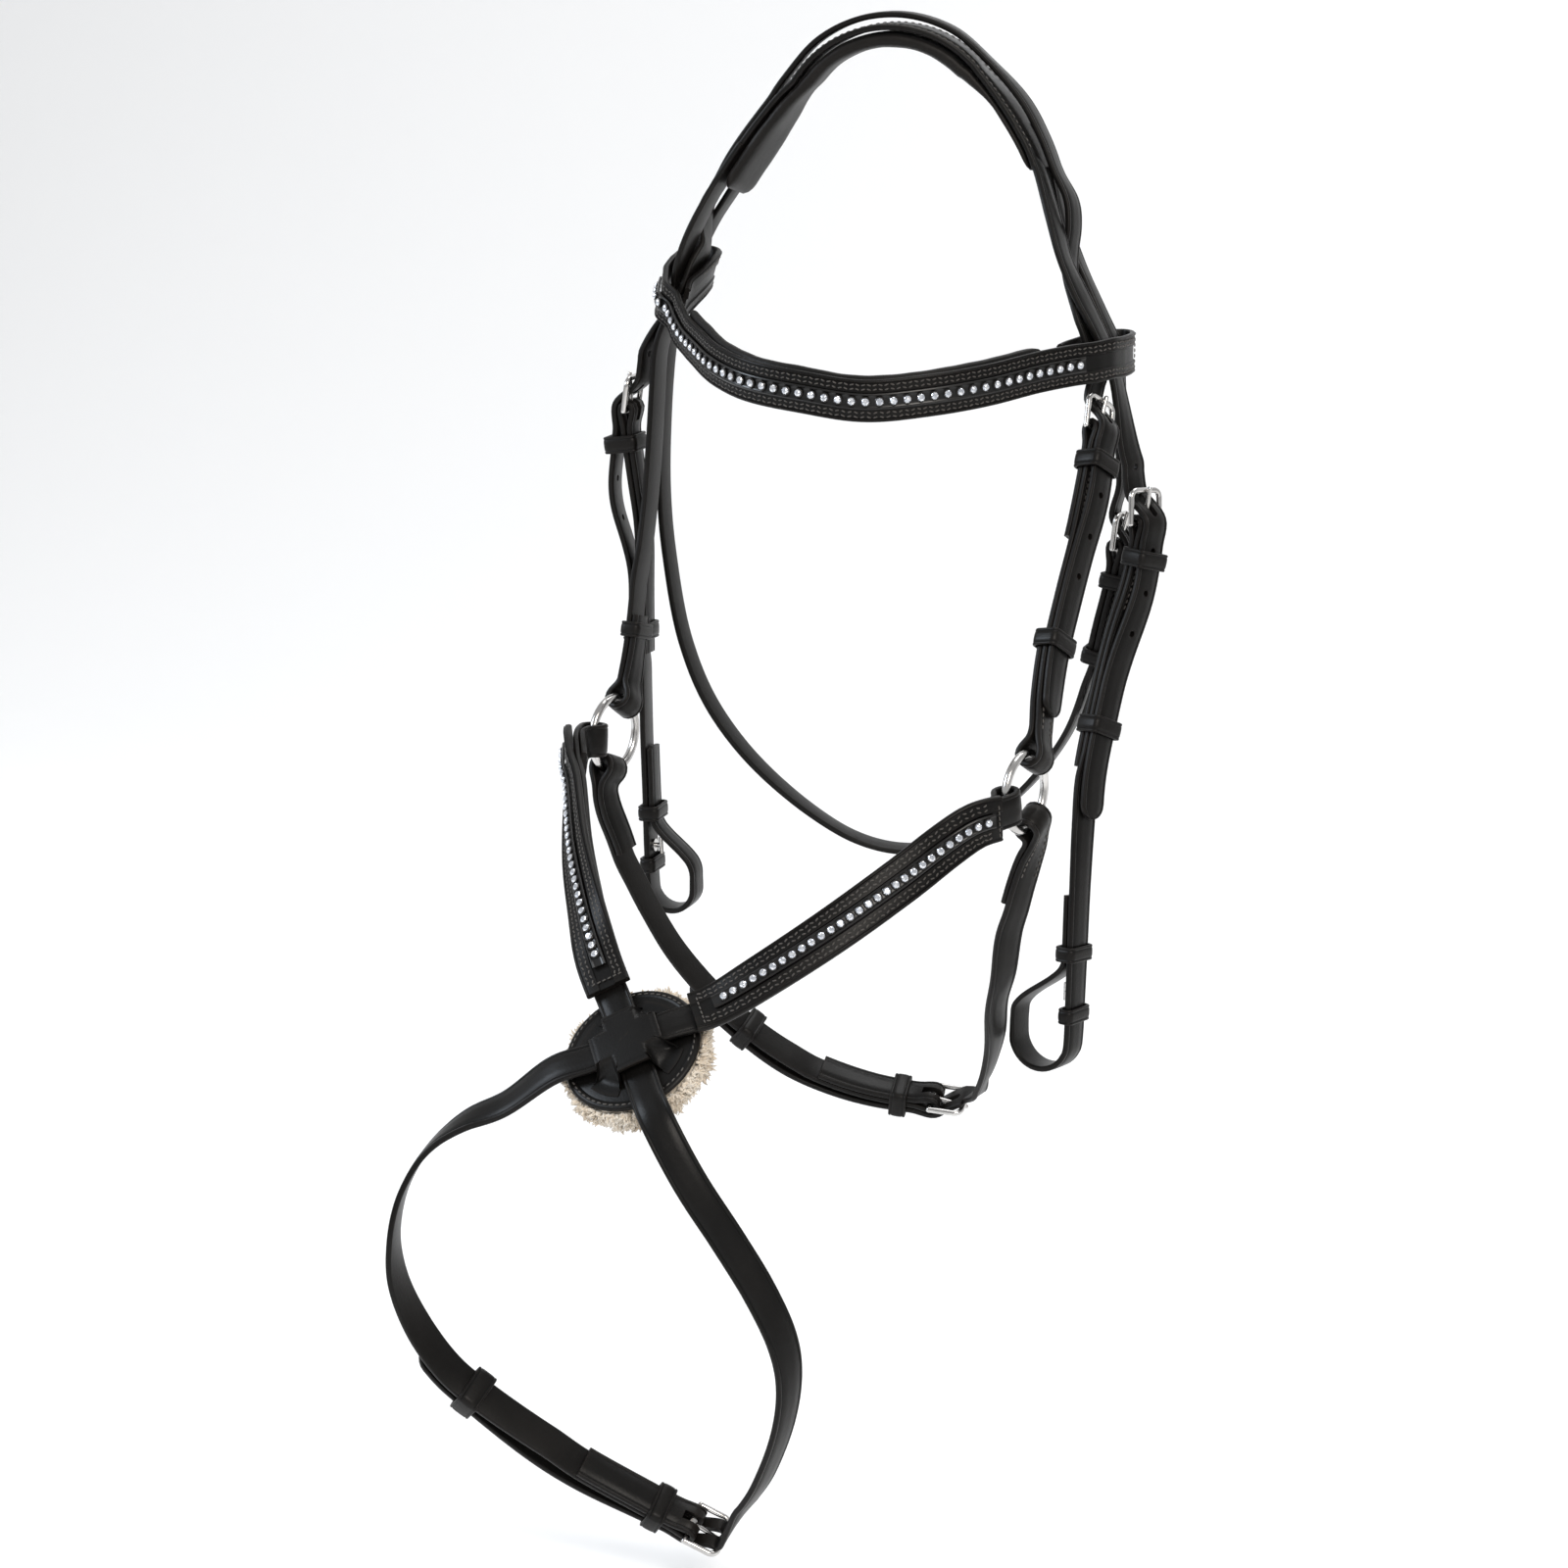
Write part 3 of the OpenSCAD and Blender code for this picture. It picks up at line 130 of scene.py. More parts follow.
def leather(name, dark, light, rough, grain=900, depth=0.25, coat=0.15, soft=0.0):
    """Leather with pores, faint creases, slow colour changes and edges rubbed paler."""
    mat, nt, bsdf = nodes_of(name, {"Specular IOR Level": 0.14, "Coat Weight": coat, "Coat Roughness": 0.3,
                                    "Sheen Weight": soft})
    pores, wrinkle, cloud = textures(nt, ("Voronoi", dict(Scale=grain, feature="F1")),
                                     ("Noise", dict(Scale=grain * 0.45, Detail=5.0, Roughness=0.65)),
                                     ("Noise", dict(Scale=28.0, Detail=4.0, Roughness=0.55)))
    edge = ramp(nt, node(nt, "NewGeometry").outputs["Pointiness"], [(0.5, grey(0)), (0.62, grey(1))])
    half = node(nt, "Math", operation="MULTIPLY")
    half.inputs[1].default_value = 0.45
    nt.links.new(edge, half.inputs[0])
    worn = node(nt, "Mix", data_type="RGBA")
    worn.inputs["B"].default_value = (light[0] * 3.2, light[1] * 2.6, light[2] * 2.2, 1)
    nt.links.new(half.outputs[0], worn.inputs["Factor"])
    nt.links.new(ramp(nt, cloud.outputs["Fac"], [(0.3, dark), (0.75, light)]), worn.inputs["A"])
    nt.links.new(worn.outputs["Result"], bsdf.inputs["Base Color"])
    vary_roughness(nt, bsdf, cloud.outputs["Fac"], rough - 0.08, rough + 0.12)
    height = node(nt, "Math", operation="MULTIPLY_ADD")
    height.inputs[1].default_value = 0.6
    nt.links.new(wrinkle.outputs["Fac"], height.inputs[0])
    nt.links.new(pores.outputs["Distance"], height.inputs[2])
    add_bump(nt, bsdf, height.outputs[0], depth)
    return mat


def thread_material():
    mat, nt, bsdf = nodes_of("waxed_thread", {"Roughness": 0.5})
    twist, = textures(nt, ("Noise", dict(Scale=2600.0, Detail=2.0)))
    tone = ramp(nt, twist.outputs["Fac"], [(0.3, grey(0.035, 0.1)), (0.7, grey(0.095, 0.1))])
    nt.links.new(tone, bsdf.inputs["Base Color"])
    add_bump(nt, bsdf, twist.outputs["Fac"], 0.5)
    return mat


def steel_material():
    mat, nt, bsdf = nodes_of("polished_steel", {"Metallic": 1.0})
    brush, smear = textures(nt, ("Noise", dict(Scale=700.0, Detail=4.0)),
                            ("Noise", dict(Scale=90.0, Detail=3.0)))
    tone = ramp(nt, smear.outputs["Fac"], [(0.3, (0.46, 0.45, 0.44, 1)), (0.7, (0.7, 0.69, 0.68, 1))])
    nt.links.new(tone, bsdf.inputs["Base Color"])
    vary_roughness(nt, bsdf, smear.outputs["Fac"], 0.09, 0.26)
    add_bump(nt, bsdf, brush.outputs["Fac"], 0.06)
    return mat


def crystal_material():
    mat, nt, bsdf = nodes_of("cut_crystal", {"Metallic": 0.75, "Coat Weight": 1.0, "Coat Roughness": 0.02})
    sparkle, = textures(nt, ("Voronoi", dict(Scale=620.0, feature="F1")))
    shade = sparkle.outputs["Distance"]
    tone = ramp(nt, shade, [(0.1, (0.97, 0.98, 1.0, 1)), (0.6, (0.55, 0.58, 0.64, 1))])
    nt.links.new(tone, bsdf.inputs["Base Color"])
    vary_roughness(nt, bsdf, shade, 0.02, 0.14)
    return mat


def fleece_material():
    mat, nt, bsdf = nodes_of("cream_fleece", {"Roughness": 0.95, "Sheen Weight": 0.7})
    curls, patches = textures(nt, ("Noise", dict(Scale=420.0, Detail=6.0, Roughness=0.7)),
                              ("Noise", dict(Scale=70.0, Detail=3.0)))
    tone = ramp(nt, patches.outputs["Fac"],
                [(0.3, (0.55, 0.45, 0.34, 1)), (0.5, (0.74, 0.65, 0.53, 1)), (0.75, (0.85, 0.79, 0.70, 1))])
    nt.links.new(tone, bsdf.inputs["Base Color"])
    add_bump(nt, bsdf, curls.outputs["Fac"], 0.6, 0.0006)
    return mat


STRAP = leather("bridle_leather", grey(0.0028, 0.0), grey(0.006, 0.06), 0.36, coat=0.04)
SOFT = leather("padded_leather", grey(0.0032), grey(0.007, 0.05), 0.45, grain=600, depth=0.5,
               coat=0.02, soft=0.03)
CHANNEL = leather("channel_leather", grey(0.003), grey(0.006), 0.2, depth=0.1, coat=0.5)
THREAD = thread_material()
STEEL = steel_material()
CRYSTAL = crystal_material()
FLEECE = fleece_material()


# ---------- reading the straps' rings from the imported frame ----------
def welded(name):
    """Vertices in mm and triangles of a CAD node, with coincident vertices joined."""
    mesh = frame["nodes"][name].data
    mesh.calc_loop_triangles()
    co = np.empty(len(mesh.vertices) * 3)
    mesh.vertices.foreach_get("co", co)
    tri = np.empty(len(mesh.loop_triangles) * 3, int)
    mesh.loop_triangles.foreach_get("vertices", tri)
    co, to = np.unique(np.round(co.reshape(-1, 3) / MM, 2), axis=0, return_inverse=True)
    tri = to.ravel()[tri].reshape(-1, 3)
    apart = ((co[:, None] - co[None]) ** 2).sum(2) if len(co) < 5000 else None
    if apart is not None:
        first = np.argmax(apart < 0.0025, axis=1)
        tri = first[first][tri]
    keep = (tri[:, 0] != tri[:, 1]) & (tri[:, 1] != tri[:, 2]) & (tri[:, 0] != tri[:, 2])
    return co, tri[keep]


def sharp_graph(v, f, limit=58):
    """Neighbours of each vertex along edges where the surface turns by more than limit degrees."""
    n = np.cross(v[f[:, 1]] - v[f[:, 0]], v[f[:, 2]] - v[f[:, 0]])
    size = np.linalg.norm(n, axis=1)
    f, n = f[size > 1e-9], n[size > 1e-9] / size[size > 1e-9][:, None]
    sides = {}
    for i, t in enumerate(f):
        for a, b in ((t[0], t[1]), (t[1], t[2]), (t[2], t[0])):
            sides.setdefault((min(a, b), max(a, b)), []).append(i)
    near = {}
    for (a, b), faces in sides.items():
        if len(faces) != 2 or n[faces[0]] @ n[faces[1]] < math.cos(math.radians(limit)):
            near.setdefault(a, set()).add(b)
            near.setdefault(b, set()).add(a)
    return near


def dist(a, b):
    return float(np.linalg.norm(a - b))


def end_faces(v, near):
    """Quads that close a strap: square ends, and the narrow ends of rounded tips."""
    caps = {}
    for a in near:
        if len(near[a]) != 3:
            continue
        for b in near[a]:
            for c in near[b] - {a}:
                for d in near[c] - {b}:
                    q = frozenset((a, b, c, d))
                    if len(q) < 4 or a not in near[d] or q in caps or any(len(near[x]) != 3 for x in q):
                        continue
                    p = v[[a, b, c, d]]
                    s = [dist(p[i], p[(i + 1) % 4]) for i in range(4)]
                    if abs(s[0] - s[2]) < 0.5 and abs(s[1] - s[3]) < 0.5 and min(s) < 10 and max(s) < 45:
                        caps[q] = (a, b, c, d)
    short = [(a, b) for a in near for b in near[a]
             if a < b and len(near[a]) == len(near[b]) == 2 and 3 < dist(v[a], v[b]) < 5]
    for i, (a, b) in enumerate(short):
        for c, d in short[i + 1:]:
            if len({a, b, c, d}) < 4:
                continue
            if dist(v[a], v[c]) > dist(v[a], v[d]):
                c, d = d, c
            if abs(dist(v[a], v[c]) - 3) > 0.35 or dist(v[b] - v[a], v[d] - v[c]) > 0.3:
                continue
            q = frozenset((a, b, c, d))
            away = [[x for x in near[k] if x not in q] for k in (a, b, d, c)]
            if not all(away):
                continue
            steps = [v[w[0]] - v[k] for w, k in zip(away, (a, b, d, c))]
            if np.linalg.norm(sum(steps) / 4) > 0.3 * np.linalg.norm(steps[0]):
                caps[q] = (a, b, d, c)
    return caps


def walk(v, near, cap):
    """Rings of four corners, followed along a strap's four long edges from an end face."""
    rings, way = [list(cap)], None
    while True:
        here, ahead = rings[-1], []
        for k in range(4):
            options = [x for x in near[here[k]] if x not in here and (len(rings) < 2 or x != rings[-2][k])]
            if not options or (way is None and len(options) > 1):
                return rings
            if way is None:
                ahead.append(options[0])
                continue
            turns = [(v[x] - v[here[k]]) @ way / dist(v[x], v[here[k]]) for x in options]
            if max(turns) < 0.2:
                return rings
            ahead.append(options[int(np.argmax(turns))])
        move = v[ahead].mean(0) - v[here].mean(0)
        size = np.linalg.norm(move)
        if len(set(ahead)) < 4 or size > 14 or (way is not None and move @ way < 0.2 * size):
            return rings
        if abs(dist(v[ahead[0]], v[ahead[2]]) - dist(v[ahead[1]], v[ahead[3]])) > 3:
            return rings
        way = move / size
        rings.append(ahead)


class Path:
    """Sections along a strap: centre, across and out directions, width and thickness, in mm."""

    def __init__(self, c, a, o, w, t):
        self.c, self.a, self.o, self.w, self.t = (np.array(x, float) for x in (c, a, o, w, t))
        self.s = np.concatenate([[0], np.cumsum(np.linalg.norm(np.diff(self.c, axis=0), axis=1))])

    @property
    def length(self):
        return float(self.s[-1])

    def reverse(self):
        return Path(self.c[::-1], -self.a[::-1], self.o[::-1], self.w[::-1], self.t[::-1])

    def signed(self, across, out):
        return Path(self.c, self.a * across, self.o * out, self.w, self.t)

    def part(self, i, j):
        return Path(self.c[i:j], self.a[i:j], self.o[i:j], self.w[i:j], self.t[i:j])

    def join(self, other):
        return Path(*[np.concatenate([getattr(self, k), getattr(other, k)]) for k in "caowt"])

    def out_facing(self, hub):
        """Turns the path over if its outer side looks at the point hub."""
        away = self.c - np.array(hub)
        return self if float((away * self.o).sum()) > 0 else self.signed(-1, -1)


def unit(v):
    return v / np.maximum(np.linalg.norm(v, axis=-1, keepdims=True), 1e-9)


def paths(name):
    """Every strap-like run in a CAD node, longest first."""
    v, f = welded(name)
    near = sharp_graph(v, f)
    caps, used, out = end_faces(v, near), set(), []
    for q, cap in caps.items():
        if q in used:
            continue
        rings = np.array(walk(v, near, cap))
        if len(rings) < 9:
            continue
        p = v[rings]
        m = len(rings) // 2
        deep = (p[:, 1] + p[:, 2] - p[:, 0] - p[:, 3]) / 2
        wide = (p[:, 3] + p[:, 2] - p[:, 0] - p[:, 1]) / 2
        if dist(p[m, 1], p[m, 0]) >= dist(p[m, 3], p[m, 0]):
            wide, deep = deep, wide
        w, t = np.linalg.norm(wide, axis=1), np.linalg.norm(deep, axis=1)
        along = unit(np.gradient(p.mean(1), axis=0))
        lean = np.abs((unit(wide) * along).sum(1))
        if w[m] < 6.5 or t[m] > 10 or np.median(lean) > 0.2:
            continue
        used.add(q)
        used.add(frozenset(rings[-1].tolist()))
        out.append(Path(p.mean(1), unit(wide), unit(np.cross(along, unit(wide))), w, t))
    return sorted(out, key=lambda p: -p.length)


# ---------- building along paths ----------
def catmull(p, u):
    """Values of the list p at fractional index u, on a smooth curve through them."""
    i = np.clip(np.floor(u).astype(int), 0, len(p) - 2)
    t = (u - i).reshape((-1,) + (1,) * (p.ndim - 1))
    a, b, c, d = (p[np.clip(i + k, 0, len(p) - 1)] for k in (-1, 0, 1, 2))
    return (2 * b + (c - a) * t + (2 * a - 5 * b + 4 * c - d) * t ** 2 + (3 * b - a - 3 * c + d) * t ** 3) / 2


def fine(path, step=STEP):
    """The path with sections every few mm and with its narrowed ends drawn as true half rounds."""
    full = float(np.median(path.w))
    ends = [path.w[0] < 0.5 * full, path.w[-1] < 0.5 * full]
    for k, rounded in enumerate(ends):
        path = path.reverse() if k else path
        if rounded:
            path = path.part(3, len(path.c))
            path.w[0] = path.w[1]
        path = path.reverse() if k else path
    n = max(2, int(path.length / step))
    s = np.linspace(0, path.length, n + 1)
    u = np.interp(s, path.s, np.arange(len(path.s)))
    c, a = catmull(path.c, u), unit(catmull(path.a, u))
    w, t = np.interp(s, path.s, path.w), np.interp(s, path.s, path.t)
    along = unit(np.gradient(c, axis=0))
    o = unit(np.cross(along, a)) * np.sign((np.cross(along, a) * catmull(path.o, u)).sum(1))[:, None]
    out = Path(c, a, o, w, t)
    for k, rounded in enumerate(ends):
        if rounded:
            out = out.reverse() if k == 0 else out
            turn = np.radians([18, 34, 48, 60, 70, 78, 84, 88])
            last = len(out.c) - 1
            way = out.c[last] - out.c[last - 1]
            way = way / np.linalg.norm(way)
            reach = np.sin(turn) * full / 2
            tip = Path(out.c[last] + reach[:, None] * way, np.repeat(out.a[last:], len(turn), 0),
                       np.repeat(out.o[last:], len(turn), 0), full * np.cos(turn),
                       np.repeat(out.t[last:], len(turn)))
            out = out.join(tip)
            out = out.reverse() if k == 0 else out
    return out


def mesh_piece(name, verts, faces, material, angle=40):
    """Object of one material from vertices in mm, smooth where faces meet by less than angle degrees."""
    mesh = bpy.data.meshes.new(name)
    mesh.from_pydata([tuple(v) for v in np.asarray(verts) * MM], [], faces)
    mesh.update()
    bm = bmesh.new()
    bm.from_mesh(mesh)
    bmesh.ops.recalc_face_normals(bm, faces=bm.faces)
    bm.to_mesh(mesh)
    bm.free()
    mesh.materials.append(material)
    mesh.shade_smooth()
    mesh.set_sharp_from_angle(angle=math.radians(angle))
    obj = bpy.data.objects.new(name, mesh)
    bpy.context.scene.collection.objects.link(obj)
    return obj


def loft(path, section, closed=False, wave=None, **kw):
    """Vertices and faces of a section carried along a path. wave(distance, outline) may reshape it."""
    rings = []
    for i in range(len(path.c)):
        uv = np.array(section(path.w[i], path.t[i], **kw))
        if wave is not None:
            uv = wave(path.s[i], uv)
        rings.append(path.c[i] + uv[:, :1] * path.a[i] + uv[:, 1:] * path.o[i])
    n, m = len(rings), len(rings[0])
    verts = np.concatenate(rings)
    faces = []
    for i in range(n if closed else n - 1):
        for j in range(m):
            a, b = i * m + j, i * m + (j + 1) % m
            c, d = ((i + 1) % n) * m + (j + 1) % m, ((i + 1) % n) * m + j
            faces.append((a, b, c, d))
    if not closed:
        faces.append(tuple(range(m)))
        faces.append(tuple(range((n - 1) * m, n * m)))
    return verts, faces


def merge(parts):
    verts, faces, base = [], [], 0
    for v, f in parts:
        verts.append(np.asarray(v))
        faces += [tuple(i + base for i in q) for q in f]
        base += len(v)
    return np.concatenate(verts), faces


def cut(obj, cutters):
    """Cuts closed shapes, given as (verts, faces) in mm, out of a piece."""
    if not cutters:
        return
    tool = mesh_piece("tool", *merge(cutters), CHANNEL)
    mod = obj.modifiers.new("holes", "BOOLEAN")
    mod.operation, mod.solver, mod.object = "DIFFERENCE", "EXACT", tool
    done = bpy.data.meshes.new_from_object(obj.evaluated_get(bpy.context.evaluated_depsgraph_get()))
    if len(done.polygons) > 0.5 * len(obj.data.polygons):
        done.name = obj.name
        obj.modifiers.clear()
        obj.data = done
        done.set_sharp_from_angle(angle=math.radians(40))
    else:
        obj.modifiers.clear()
    bpy.data.objects.remove(tool)


def prism(centre, x, y, z, half_x, r, half_z, n=10):
    """Closed slot-shaped prism: half_x from its middle to the centre of each round end of radius r."""
    outline = [(side * half_x + side * r * math.cos(t), side * r * math.sin(t))
               for side in (1, -1) for t in np.linspace(-math.pi / 2, math.pi / 2, n)]
    verts = [centre + x * p + y * q + z * h for h in (-half_z, half_z) for p, q in outline]
    m = len(outline)
    faces = [(i, (i + 1) % m, m + (i + 1) % m, m + i) for i in range(m)]
    return np.array(verts), faces + [tuple(range(m))[::-1], tuple(range(m, 2 * m))]


def disc(centre, axis, r, half, n=32):
    x = unit(np.cross(axis, [0.3, 0.5, 0.81]))
    return prism(centre, x, np.cross(axis, x), axis, 0, r, half, n // 2)


def nearest(path, point):
    return int(np.argmin(((path.c - point) ** 2).sum(1)))


def punched(name, path):
    """Cutters for the holes of a CAD strap, found from its sharp loops away from the long edges."""
    v, f = welded(name)
    near = sharp_graph(v, f)
    left, cutters, found = set(near), [], []
    while left:
        group, todo = set(), [left.pop()]
        while todo:
            x = todo.pop()
            group.add(x)
            todo += [y for y in near[x] if y in left]
            left -= near[x]
        pts = v[list(group)]
        i = nearest(path, pts.mean(0))
        rel = pts - pts.mean(0)
        a, o = path.a[i], path.o[i]
        l = np.cross(a, o)
        size = [float(np.ptp(rel @ k)) for k in (l, a, o)]
        if len(group) < 8 or size[1] > 4.2 or size[0] > 20 or dist(pts.mean(0), path.c[i]) > 9:
            continue
        if any(dist(pts.mean(0), q) < 5 for q in found):
            continue
        found.append(pts.mean(0))
        middle = pts.mean(0) + o * ((path.c[i] - pts.mean(0)) @ o)
        cutters.append(prism(middle, l, a, o, max(0, (size[0] - size[1]) / 2), size[1] / 2, 3.2))
    return cutters


# ---------- stitches ----------
# stations of a stitch: place along it, thickness, and how far it dips into the leather
STITCH = ((-0.5, 0.35, -0.42), (-0.36, 0.85, -0.1), (0, 1.0, 0), (0.36, 0.85, -0.1), (0.5, 0.35, -0.42))


def stitch_rows(path, rows, start=4, stop=4, pitch=3.3, length=2.3, r=0.42, slant=0.12, lift=0.1, zigzag=0):
    """Raised stitches in rows, each given by its distance from the middle line, or by that and its
    share of half the thickness."""
    parts = []
    n = int((path.length - start - stop) / pitch)
    for row in rows:
        u, face = row if isinstance(row, tuple) else (row, 1)
        for k in range(n + 1):
            s = start + k * pitch
            i = np.interp(s, path.s, np.arange(len(path.s)))
            j = int(i)
            q = i - j
            j2 = min(j + 1, len(path.c) - 1)
            c = path.c[j] * (1 - q) + path.c[j2] * q
            a = unit(path.a[j] * (1 - q) + path.a[j2] * q)
            o = unit(path.o[j] * (1 - q) + path.o[j2] * q)
            l = unit(np.cross(a, o))
            turn = (slant + rng.uniform(-0.05, 0.05)) * (1 if u > 0 else -1)
            turn = turn if not zigzag else (zigzag if k % 2 else -zigzag)
            way = l * math.cos(turn) + a * math.sin(turn)
            side = unit(np.cross(way, o))
            mid = c + a * u + o * face * (path.t[j] / 2 + lift)
            ring = []
            for x, fat, dip in STITCH:
                for t in np.linspace(0, 2 * math.pi, 7)[:-1]:
                    ring.append(mid + way * x * length + o * face * dip * r * 1.6
                                + side * r * fat * math.cos(t) + o * r * fat * math.sin(t))
            faces = [(p * 6 + m, p * 6 + (m + 1) % 6, p * 6 + 6 + (m + 1) % 6, p * 6 + 6 + m)
                     for p in range(4) for m in range(6)]
            faces += [tuple(range(6)), tuple(range(24, 30))]
            parts.append((ring, faces))
    return parts


def cross_row(path, s, reach, **kw):
    """A row of stitches straight across a strap, closing the rows along its edges."""
    i = int(np.searchsorted(path.s, s if s > 0 else path.length + s))
    i = min(max(i, 1), len(path.c) - 2)
    ahead = unit(path.c[i + 1] - path.c[i - 1])
    across = [path.c[i] + path.a[i] * u for u in np.linspace(-reach, reach, 9)]
    line = Path(across, [ahead] * 9, [path.o[i]] * 9, [4.0] * 9, [path.t[i]] * 9)
    return stitch_rows(line, (0.01,), start=0.4, stop=0.4, **kw)


def segment(path, s0, s1):
    """Stretch of a fine path between two distances. A negative distance counts from the end."""
    s0 = s0 if s0 >= 0 else path.length + s0
    s1 = s1 if s1 > 0 else path.length + s1
    i, j = np.searchsorted(path.s, [s0, s1])
    return path.part(max(i - 1, 0), min(j + 1, len(path.c)))


def add_stitches(name, parts, node_name):
    if parts:
        piece = mesh_piece(name, *merge(parts), THREAD, angle=80)
        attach(piece, BODY_OF[node_name])


SLOT_OF = {s["node"]: s["material_slot"] for s in frame["record"]["subparts"]}


def finish(piece, node_name):
    """Puts a piece in place of a CAD node."""
    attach(piece, BODY_OF[node_name])
    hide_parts(node_name)


# ---------- straps ----------
# points inside the bridle, in mm: straps turn their outer side away from them
HUBS = {"head": (2, -60, -200), "nose": (-8, -225, -500)}


def joined(name):
    """One path for a node that was followed from both of its ends."""
    first, second = paths(name)[:2]
    pairs = [(a, b) for a in (first, first.reverse()) for b in (second, second.reverse())]
    a, b = min(pairs, key=lambda pair: dist(pair[0].c[-1], pair[1].c[0]))
    return a.join(b.signed(-1, -1) if a.a[-1] @ b.a[0] < 0 else b)


def bars():
    """Places and directions of the buckle bars, from the tongues' hinges, in mm."""
    return [(np.array(j["pos_m"]) / MM, np.array(j["axis"])) for n, j in JOINTS.items() if "tongue" in n]


# straps with holes for a prong; the others have a slot where they fold round a buckle bar
BILLETS = ("headpiece", "noseband_headstrap", "off_nose_strap", "near_jowl_strap", "near_throat_billet")


def strap_top(w, line=2.0, sunk=0.32, dome=0.12):
    """Outer face of a strap: a pressed line near each edge and a slight dome, as (across, height)."""
    line, lip = min(line, w * 0.24), min(0.42, w * 0.06)
    edge = w / 2 - line
    half = [(w * 0.12, dome), (edge - lip, 0), (edge, -sunk), (edge + lip, 0)]
    return [(-x, y) for x, y in reversed(half)] + half


def trimmed_top(w, channel=4.2, rim=1.7, lift=0.55, sunk=0.6):
    """Outer face of a trimmed band: raised rims, flat stitched lanes and a sunk channel."""
    e = w / 2
    half = [(channel - 0.5, -sunk), (channel, 0.15), (channel + 0.7, 0.1), (e - rim - 0.9, 0),
            (e - rim - 0.2, -0.15), (e - rim + 0.4, lift), (e - 0.9, lift * 0.9)]
    return [(-x, y) for x, y in reversed(half)] + half


def section(w, t, top=strap_top, round_=1.0, **kw):
    """Closed outline of a strap's section, clockwise from the outer face's right edge."""
    r = min(round_, t * 0.45, w * 0.3)
    pts = []
    for cx, cy, start in ((w / 2 - r, t / 2 - r, 90), (w / 2 - r, r - t / 2, 0),
                          (r - w / 2, r - t / 2, -90), (r - w / 2, t / 2 - r, -180)):
        pts += [(cx + r * math.cos(math.radians(start - d)), cy + r * math.sin(math.radians(start - d)))
                for d in (0, 30, 60, 90)]
    return pts + [(x, t / 2 + y) for x, y in top(w, **kw)]


def roll_section(w, t, rolls=1, n=40):
    """Soft padded section: rolls side by side with a seam between them, thickest inside each roll."""
    pts = []
    for side in (1, -1):
        for k in range(n):
            x = side * ((k + 0.5) / n * 2 - 1)
            edge = (1 - abs(x) ** 5) ** 0.42
            from_seam = (x * rolls % 2 - rolls % 2) * w / 9
            seam = 1 - 0.34 * math.exp(-from_seam ** 2) if rolls > 1 else 1
            pts.append((x * w / 2, side * t / 2 * edge * seam))
    return pts


SOFT_STEP = 2.5           # spacing of the sections of padding, mm
TRIM_STEP = 2.0           # spacing of the sections of trimmed bands, mm
QUARTERS = (0, 1.57, 3.14, 4.71)


def wave_edges(size, length, seed, end=9.0):
    """Small slow waves along a soft edge, and rounded ends, so that padding isn't ruler straight."""
    r = random.Random(seed)
    waves = [(r.uniform(14, 60), r.uniform(0, 6.28), r.uniform(0.4, 1)) for k in range(5)]

    def move(s, uv):
        k = sum(a * math.sin(s / l * 2 * math.pi + p) for l, p, a in waves) / 3
        m = sum(a * math.cos(s / l * 2 * math.pi + 2 * p) for l, p, a in waves) / 3
        out = uv.copy()
        near_end = max(0.0, 1 - min(s, length - s) / end)
        close = math.sqrt(max(1 - near_end ** 2, 0.02))
        out[:, 0] *= (1 + size * k * 0.5) * (0.72 + 0.28 * close)
        out[:, 1] *= (1 + size * m) * close
        return out
    return move


def outer_side(f, point, hub, reach=30):
    """+1 or -1: the way along a folded strap in which its outer layer leaves a bar or ring."""
    s = f.s[nearest(f, point)]
    scores = []
    for way in (1, -1):
        i = int(np.searchsorted(f.s, min(max(s + way * reach, 0), f.length - 0.1)))
        scores.append((f.c[i] - hub) @ f.o[i])
    return s, 1 if scores[0] > scores[1] else -1


def fold_rows(f, point, hub, near=26, far=54, inset=3.0):
    """Stitched stretch behind a fold, for strap(stitched=...)."""
    s, way = outer_side(f, np.array(point), np.array(hub))
    a, b = sorted((s + way * near, s + way * far))
    u = float(np.median(f.w)) / 2 - inset
    return (max(a, 1), min(b, f.length - 1), ((u, 1), (-u, 1)))


def strap(name, path, hub="head", folds=(), near=26, far=54):
    """A leather strap in place of its CAD node: edges, pressed lines, punched holes and stitched folds."""
    f = fine(path.out_facing(HUBS[hub]))
    piece = mesh_piece(name + "_leather", *loft(f, section), STRAP)
    cutters = punched(name, f)
    if name not in BILLETS:
        cutters += [disc(bar, axis, 7.2, 2.3) for bar, axis in bars()
                    if (((f.c - bar) ** 2).sum(1) < 20).sum() > 2]
    cut(piece, cutters)
    parts = []
    for point in folds:
        s0, s1, rows = fold_rows(f, point, HUBS[hub], near, far)
        parts += stitch_rows(segment(f, s0, s1), rows, start=1, stop=1)
    add_stitches(name + "_stitches", parts, name)
    finish(piece, name)


def ring_spot(name):
    lo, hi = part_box(name)
    return np.array((lo + hi) / 2) / MM


def bar_spot(name):
    return np.array(JOINTS[name + "_lift"]["pos_m"]) / MM


# ---------- headpiece and its padding ----------
CROWN = MOUNTS["crown_rest"]
CROWN_R = CROWN["dims"]["r_mm"]
CROWN_AXIS = unit(np.array(CROWN["axis"]))
CROWN_X = np.cross([0, 0, 1], CROWN_AXIS)
UP = np.array([0.0, 0, 1])


